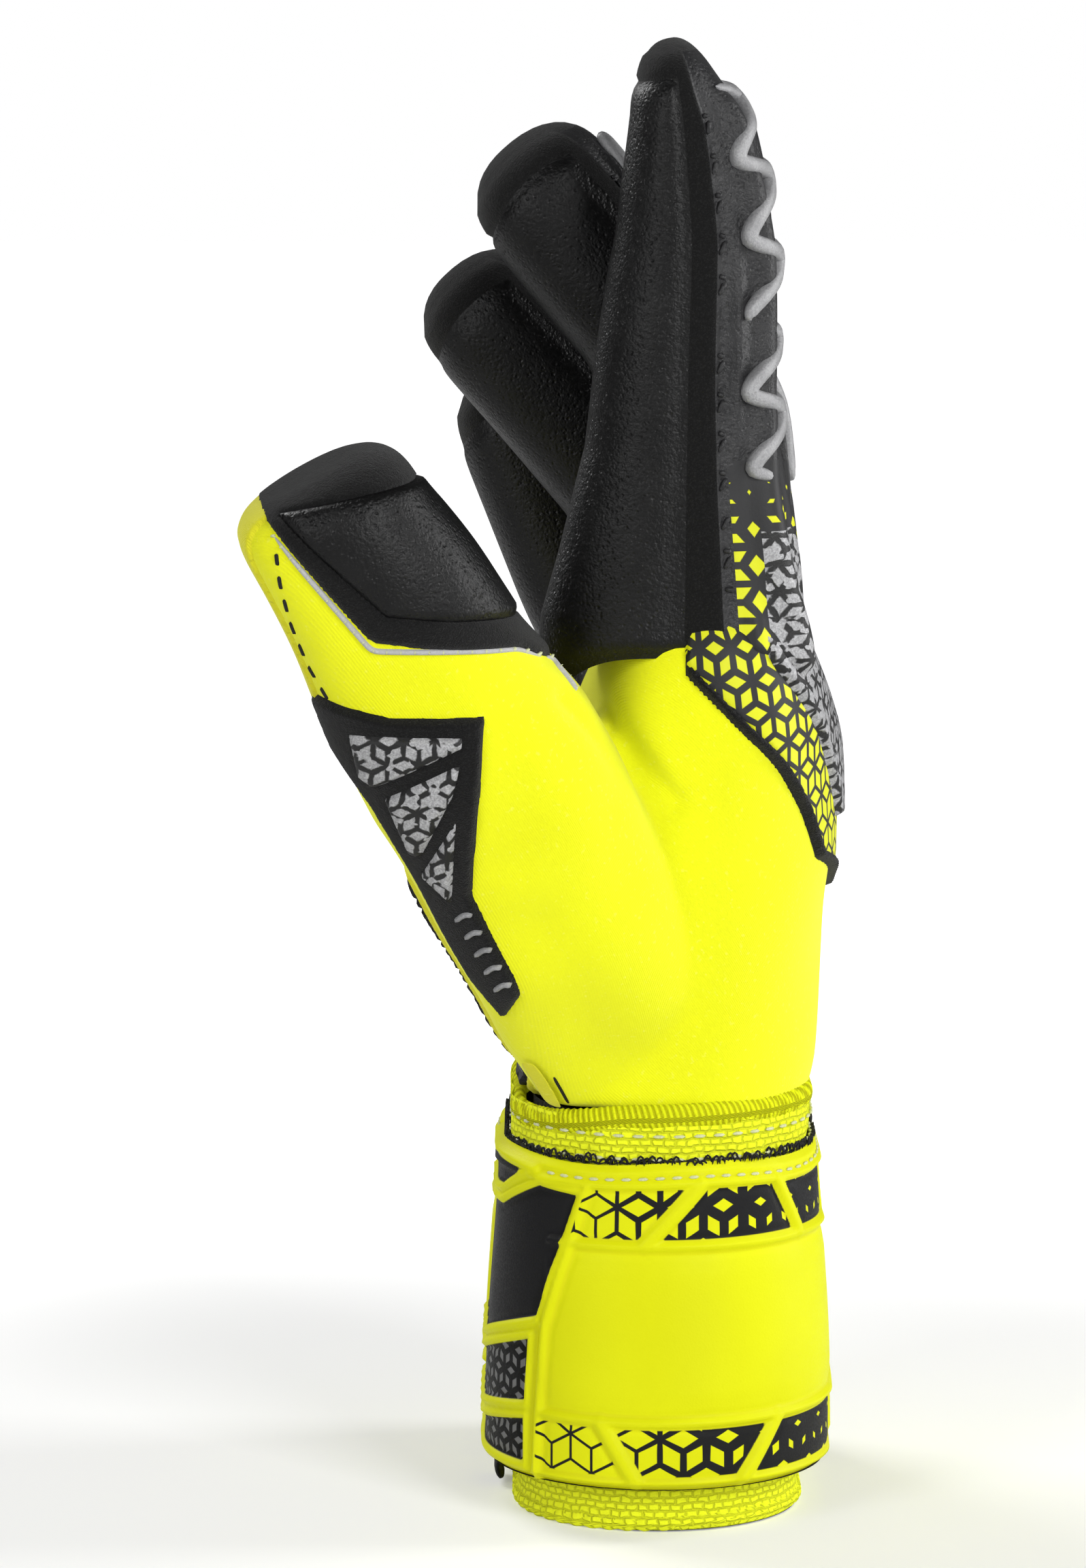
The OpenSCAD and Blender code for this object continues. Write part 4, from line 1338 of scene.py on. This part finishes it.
def build_cuff_trim():
    """Overlocked top edge, rolled hem, two stitch rows and the fringe behind the strap."""
    binding = ring_cord("overlock_ridge", 79.8, 0.7, (1.5, 2.3), CORD)
    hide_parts("wrist_binding")
    ring_cord("hem_roll", 1.7, -0.2, (1.3, 1.4), ELASTIC, turns=0.4)
    for k, height in enumerate((76.2, 71.8)):
        parts = []
        for s in np.arange(-ELASTIC_ROUND / 2, ELASTIC_ROUND / 2 - 3, 3.6):
            path, out = elastic_points(np.linspace(s, s + 2.2, 5), height, ELASTIC_R + 2.0)
            parts.append(ribbon(path, out, 0.33, 0.35, sides=6))
        place_one(f"cuff_stitch_{k}", *join(parts), WHITE_THREAD, ON_CUFF, "elastic")
    # fuzzy black loops that stand up behind the strap
    rng = np.random.default_rng(7)
    parts = []
    for s in np.arange(-ELASTIC_ROUND / 2, ELASTIC_ROUND / 2, 0.95):
        s = s + rng.uniform(-0.5, 0.5)
        radius = ELASTIC_R + rng.uniform(2.0, 3.0)
        turn = np.linspace(0, math.pi, 7)
        high = rng.uniform(0.9, 2.1)
        path, out = elastic_points(s + 0.7 * np.cos(turn), 70.6 + high * np.sin(turn), radius)
        parts.append(ribbon(path, out, 0.22, 0.22, sides=5))
    place_one("pile_fringe", *join(parts), PILE, ON_CUFF, "lining")


STRAP_R = 31.4
STRAP_Z0, STRAP_Z1 = 9.4, 71.0
QUARTER = STRAP_R * math.pi / 2
WHOLE = 4 * QUARTER + 4 * FLAT
STRAP_TIP = -QUARTER - 21.0
RIB_LOW, RIB_HIGH = 22.3, 55.6
RIM_LOW, RIM_HIGH, SEAM_HIGH = 10.6, 67.2, 68.4
STRAP_FAR = WHOLE - (QUARTER + 21.5)


def lean_in(z):
    """The strap narrows towards its top edge."""
    return 0.5 - 2.6 * smooth((np.asarray(z, float) - 22) / 52)


def top_wave(s, z):
    """Slow rise and fall of the strap's top edge."""
    return 0.5 * np.sin(s * 0.13 + 0.5) * smooth((z - 60) / 12)


def strap_s(x):
    """Arc on the strap of a thumb-side point seen at x."""
    return STRAP_R * math.asin(max(-1.0, min(1.0, x / (STRAP_R + 1.0))))


# the strap's raised lines and printed panels as (arc, height)
BARS = [[(strap_s(-3.0), 56), (strap_s(8.2), 67)], [(strap_s(23.5), 67), (strap_s(27.5), 56)],
        [(strap_s(-11), 22), (strap_s(-4.5), 11)], [(strap_s(15.5), 11), (strap_s(22), 22)],
        [(58, 56), (66, 66)], [(78, 66), (84, 56)], [(100, 56), (110, 66)], [(125, 66), (131, 56)],
        [(62, 9), (70, 20)], [(90, 20), (96, 9)], [(112, 9), (120, 20)]]
EDGE_LINE = [(strap_s(-14.4), 67), (strap_s(-21.6), 39), (strap_s(-23.2), 9)]
PANEL_A = [(strap_s(-24), 66.4), (strap_s(-15.4), 65.6), (strap_s(-22.8), 40.0), (-52, 32.4), (-70, 34.0),
           (-70, 60), (-52, 60.0), (strap_s(-31), 60.6)]
PANEL_B = [(strap_s(-31), 62.6), (strap_s(-24.6), 68.4), (-52, 69.2), (-70, 69.2), (-70, 62.0), (-52, 62.0)]
GREY_A = [(strap_s(-24.0), 37.2), (strap_s(-24.6), 23.4), (-52, 19.4), (-70, 21.5), (-70, 31.0), (-52, 30.0)]
GREY_B = [(strap_s(-24.8), 21.6), (strap_s(-24.8), 11.4), (-52, 11.4), (-70, 12.0), (-70, 18.6), (-52, 17.0)]


def build_strap():
    """The padded strap: outer foam with ribs and print, black pile inside."""
    s = np.concatenate([np.arange(STRAP_TIP, 48, 0.6), np.arange(48, STRAP_FAR, 1.4),
                        [STRAP_FAR, -QUARTER / 2, QUARTER / 2]])
    s = np.unique(np.round(s, 4))
    z = np.linspace(STRAP_Z0, STRAP_Z1, 112)
    ss, zz = (grid.reshape(-1) for grid in np.meshgrid(s, z, indexing="xy"))
    at = np.stack([ss, zz], -1)
    # distance to the raised ribs between the panels
    ribs = np.minimum(np.abs(zz - RIB_HIGH), np.abs(zz - RIB_LOW))
    ribs = np.where(ss > strap_s(-22), ribs, 9.0)
    ribs = np.minimum(ribs, np.abs(zz - RIM_HIGH))
    ribs = np.minimum(ribs, np.abs(zz - RIM_LOW) + 0.3)
    bars = np.min([line_distance(at, bar) for bar in BARS], axis=0)
    ribs = np.minimum(ribs, bars - 0.6)
    ribs = np.minimum(ribs, line_distance(at, EDGE_LINE) - 0.2)
    panels = [polygon_distance(at, p) for p in (PANEL_A, PANEL_B, GREY_A, GREY_B)]
    ribs = np.minimum(ribs, np.min(np.abs(panels), axis=0))
    rib = 0.85 * np.exp(-(np.clip(ribs, 0, 99) / 0.65) ** 2) - 0.22 * np.exp(-((ribs - 1.5) / 0.6) ** 2)
    # the printed bands, negative inside
    band = np.minimum(np.maximum(56.9 - zz, zz - 66.2), np.maximum(12.0 - zz, zz - 21.0))
    band = np.maximum(band, strap_s(-21.8) - ss + np.interp(zz, [9, 39, 66], [-1.5, 0, 8.5]))
    band = np.maximum(band, 1.7 - bars)
    panel = np.minimum(panels[0], panels[1]) + 0.9
    grey = np.minimum(panels[2], panels[3]) + 0.9
    pillow = 0.35 * smooth((np.minimum(zz - 23.5, 54.5 - zz)) / 5.0) * (ss > strap_s(-22))
    soft = 0.22 * np.sin(ss * 0.10 + 1.0) * np.sin(zz * 0.09)
    round_edge = 0.0
    for inside in (zz - STRAP_Z0, STRAP_Z1 - zz, np.minimum(ss - STRAP_TIP, STRAP_FAR - ss)):
        round_edge = round_edge - 1.1 * (1 - smooth(inside / 1.6))
    radius = STRAP_R + 1.0 + lean_in(zz) + rib + pillow + soft + round_edge
    radius = radius - 0.15 * (np.minimum(panel, grey) < 0)
    x, y, _, _ = stadium(ss, radius, STRAP_R)
    co = np.stack([x, y, zz + top_wave(ss, zz)], -1)
    outer = outward(co, grid_faces(len(z), len(s), False))
    ends = [strap_s(-18), strap_s(31), 60, 150]
    ink = np.interp(ss, ends, [0.0, 1.0, 0.7, 0.2])
    ends[0] = strap_s(-22)
    ink = np.where(zz > 40, ink, np.interp(ss, ends, [-0.2, 1.0, 0.7, 0.2]))
    uv = np.stack([ss, zz, 0 * ss], -1)
    extra = {"uv_mm": uv, "ink": ink, "band": band, "panel": panel, "grey": grey, "rib": ribs}

    def label(quads, arc):
        middle = arc[quads].mean(axis=1)
        return np.where(middle < -QUARTER / 2, 2, np.where(middle < QUARTER / 2, 1, 0))

    place = {
        0: blend_between(),
        1: blend_between(),
        2: blend_between(),
    }
    made = make_parts("strap", co, outer, label(outer, ss), [STRAP], place, extra)
    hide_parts("strap_anchor", "strap_side_b")
    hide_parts("strap_side_a")
    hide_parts("strap_end")
    # inner pile with its rolled black edge
    z = np.concatenate([[STRAP_Z0 - 0.1], np.linspace(STRAP_Z0 - 0.4, STRAP_Z1 + 0.6, 26), [STRAP_Z1 + 0.2]])
    ss, zz = np.meshgrid(s, z, indexing="xy")
    rim = STRAP_R + lean_in(zz)
    radius = STRAP_R - 2.2 + lean_in(zz)
    radius[0], radius[-1] = rim[0], rim[-1]
    radius[:, 0], radius[:, -1] = rim[:, 0], rim[:, -1]
    x, y, _, _ = stadium(ss, radius, STRAP_R)
    fuzz = 0.16 * np.sin(ss * 2.1) * (np.arange(len(z))[:, None] > len(z) - 4)
    co = np.stack([x, y, zz + top_wave(ss, zz) + fuzz], -1).reshape(-1, 3)
    inner = outward(co, grid_faces(len(z), len(s), False))[:, ::-1]
    made = make_parts("strap_pile", co, inner, label(inner, ss.reshape(-1)), [PILE], place)
    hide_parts("hook_patch")
    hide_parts("loop_patch")
    # dashed seam along the strap's top edge
    groups = {0: [], 1: [], 2: []}
    for k, (a, b) in enumerate(((QUARTER / 2, STRAP_FAR - 3), (-QUARTER / 2, QUARTER / 2),
                                (STRAP_TIP + 2, -QUARTER / 2))):
        for start in np.arange(a + 0.5, b - 2.2, 3.3):
            path = np.linspace(start, start + 2.1, 5)
            x, y, nx, ny = stadium(path, STRAP_R + 1.05 + lean_in(SEAM_HIGH), STRAP_R)
            stitch = np.stack([x, y, SEAM_HIGH + top_wave(path, SEAM_HIGH + 0.2)], -1)
            groups[k].append(ribbon(stitch, np.stack([nx, ny, 0 * nx], -1), 0.32, 0.3, sides=6))
    place_groups("strap_stitch", groups, WHITE_THREAD, place, "strap")


def build_tab():
    """Small folded pull tab at the hem."""
    path = np.linspace(0, 1, 16)
    x = -27.4 - 3.3 * np.sin(path * math.pi * 0.8) ** 0.7
    z = 7.6 - 6.6 * path
    points = np.stack([x, 0 * path, z], -1)
    normals = np.stack([-np.ones(16), 0 * path, 0.25 * np.cos(path * math.pi)], -1)
    loop = ribbon(points, normals, 5.6, 0.7, taper=0.4, sides=14)
    piece = place_one("pull_tab_loop", *loop, FLOCK, ride_on("pull_tab"), "black_trim")
    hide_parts("pull_tab")


build_knit()
build_thumb_latex()
build_guard()
build_palm()
build_palm_edge()
build_backhand()
for number in range(4):
    build_finger(number)
build_elastic()
build_cuff_trim()
build_strap()
build_tab()


# ------------------------------------------------------------------ studio
WORLD_LIGHT = 0.10


def build_studio():
    """White paper floor and surround, lit by four soft boxes."""
    floor_mesh = bpy.data.meshes.new("floor")
    line = np.linspace(-4.0, 4.0, 9)
    verts = [(x, y, 0.0) for y in line for x in line]
    floor_mesh.from_pydata(verts, [], grid_faces(9, 9, False).tolist())
    g = Graph("paper")
    where = g.point()
    tone = g.mix(g.noise(where, 260.0, 2.0), (0.84, 0.84, 0.84, 1), (0.80, 0.80, 0.80, 1))
    g.finish(tone, 0.9, specular=0.1)
    # the paper fades into the white surround away from the glove, for the camera only
    away = g.ramp(g.vector("LENGTH", where), 140.0, 420.0)
    seen = g.nodes.new("ShaderNodeLightPath").outputs["Is Camera Ray"]
    g.put(g.surface, "Emission Color", (1, 1, 1, 1))
    g.put(g.surface, "Emission Strength", g.mul(seen, g.add(g.mul(away, 0.8), 0.25)))
    floor_mesh.materials.append(g.material)
    rest = floor_mesh.attributes.new("rest", "FLOAT_VECTOR", "POINT")
    rest.data.foreach_set("vector", (np.array(verts) * 1000).astype(np.float32).ravel())
    floor = bpy.data.objects.new("floor", floor_mesh)
    scene.collection.objects.link(floor)

    world = bpy.data.worlds.new("studio")
    world.use_nodes = True
    nodes, links = world.node_tree.nodes, world.node_tree.links
    path = nodes.new("ShaderNodeLightPath")
    level = nodes.new("ShaderNodeMapRange")
    links.new(path.outputs["Is Camera Ray"], level.inputs[0])
    level.inputs[3].default_value = WORLD_LIGHT
    level.inputs[4].default_value = 1.0
    nodes["Background"].inputs[0].default_value = (1, 1, 1, 1)
    links.new(level.outputs[0], nodes["Background"].inputs[1])
    scene.world = world

    def soft_box(name, place, target, size, power):
        light = bpy.data.lights.new(name, "AREA")
        light.shape = "RECTANGLE"
        light.size, light.size_y = size
        light.energy = power
        obj = bpy.data.objects.new(name, light)
        obj.location = place
        obj.rotation_euler = (Vector(target) - Vector(place)).to_track_quat("-Z", "Y").to_euler()
        scene.collection.objects.link(obj)

    soft_box("key", (0.66, -1.12, 0.60), (0, 0, 0.15), (0.5, 0.75), 11.8)
    soft_box("fill", (-0.80, -1.00, 0.55), (0, 0, 0.14), (0.45, 0.7), 5.8)
    soft_box("rim", (-0.55, 0.55, 0.70), (0, 0, 0.18), (0.5, 0.6), 5.0)
    soft_box("rim_right", (0.85, 0.10, 0.35), (0, 0, 0.18), (0.25, 0.8), 5.5)


def build_camera():
    """Long lens, a little above the glove, at its thumb side."""
    camera = bpy.data.cameras.new("camera")
    camera.sensor_width = 36
    camera.lens = 157.0
    obj = bpy.data.objects.new("camera", camera)
    target = Vector((-0.0219, -0.02, 0.1395))
    obj.location = (-0.0219, -1.30, 0.319)
    obj.rotation_euler = (target - obj.location).to_track_quat("-Z", "Y").to_euler()
    scene.collection.objects.link(obj)
    scene.camera = obj


build_studio()
build_camera()
scene.view_settings.view_transform = "Standard"
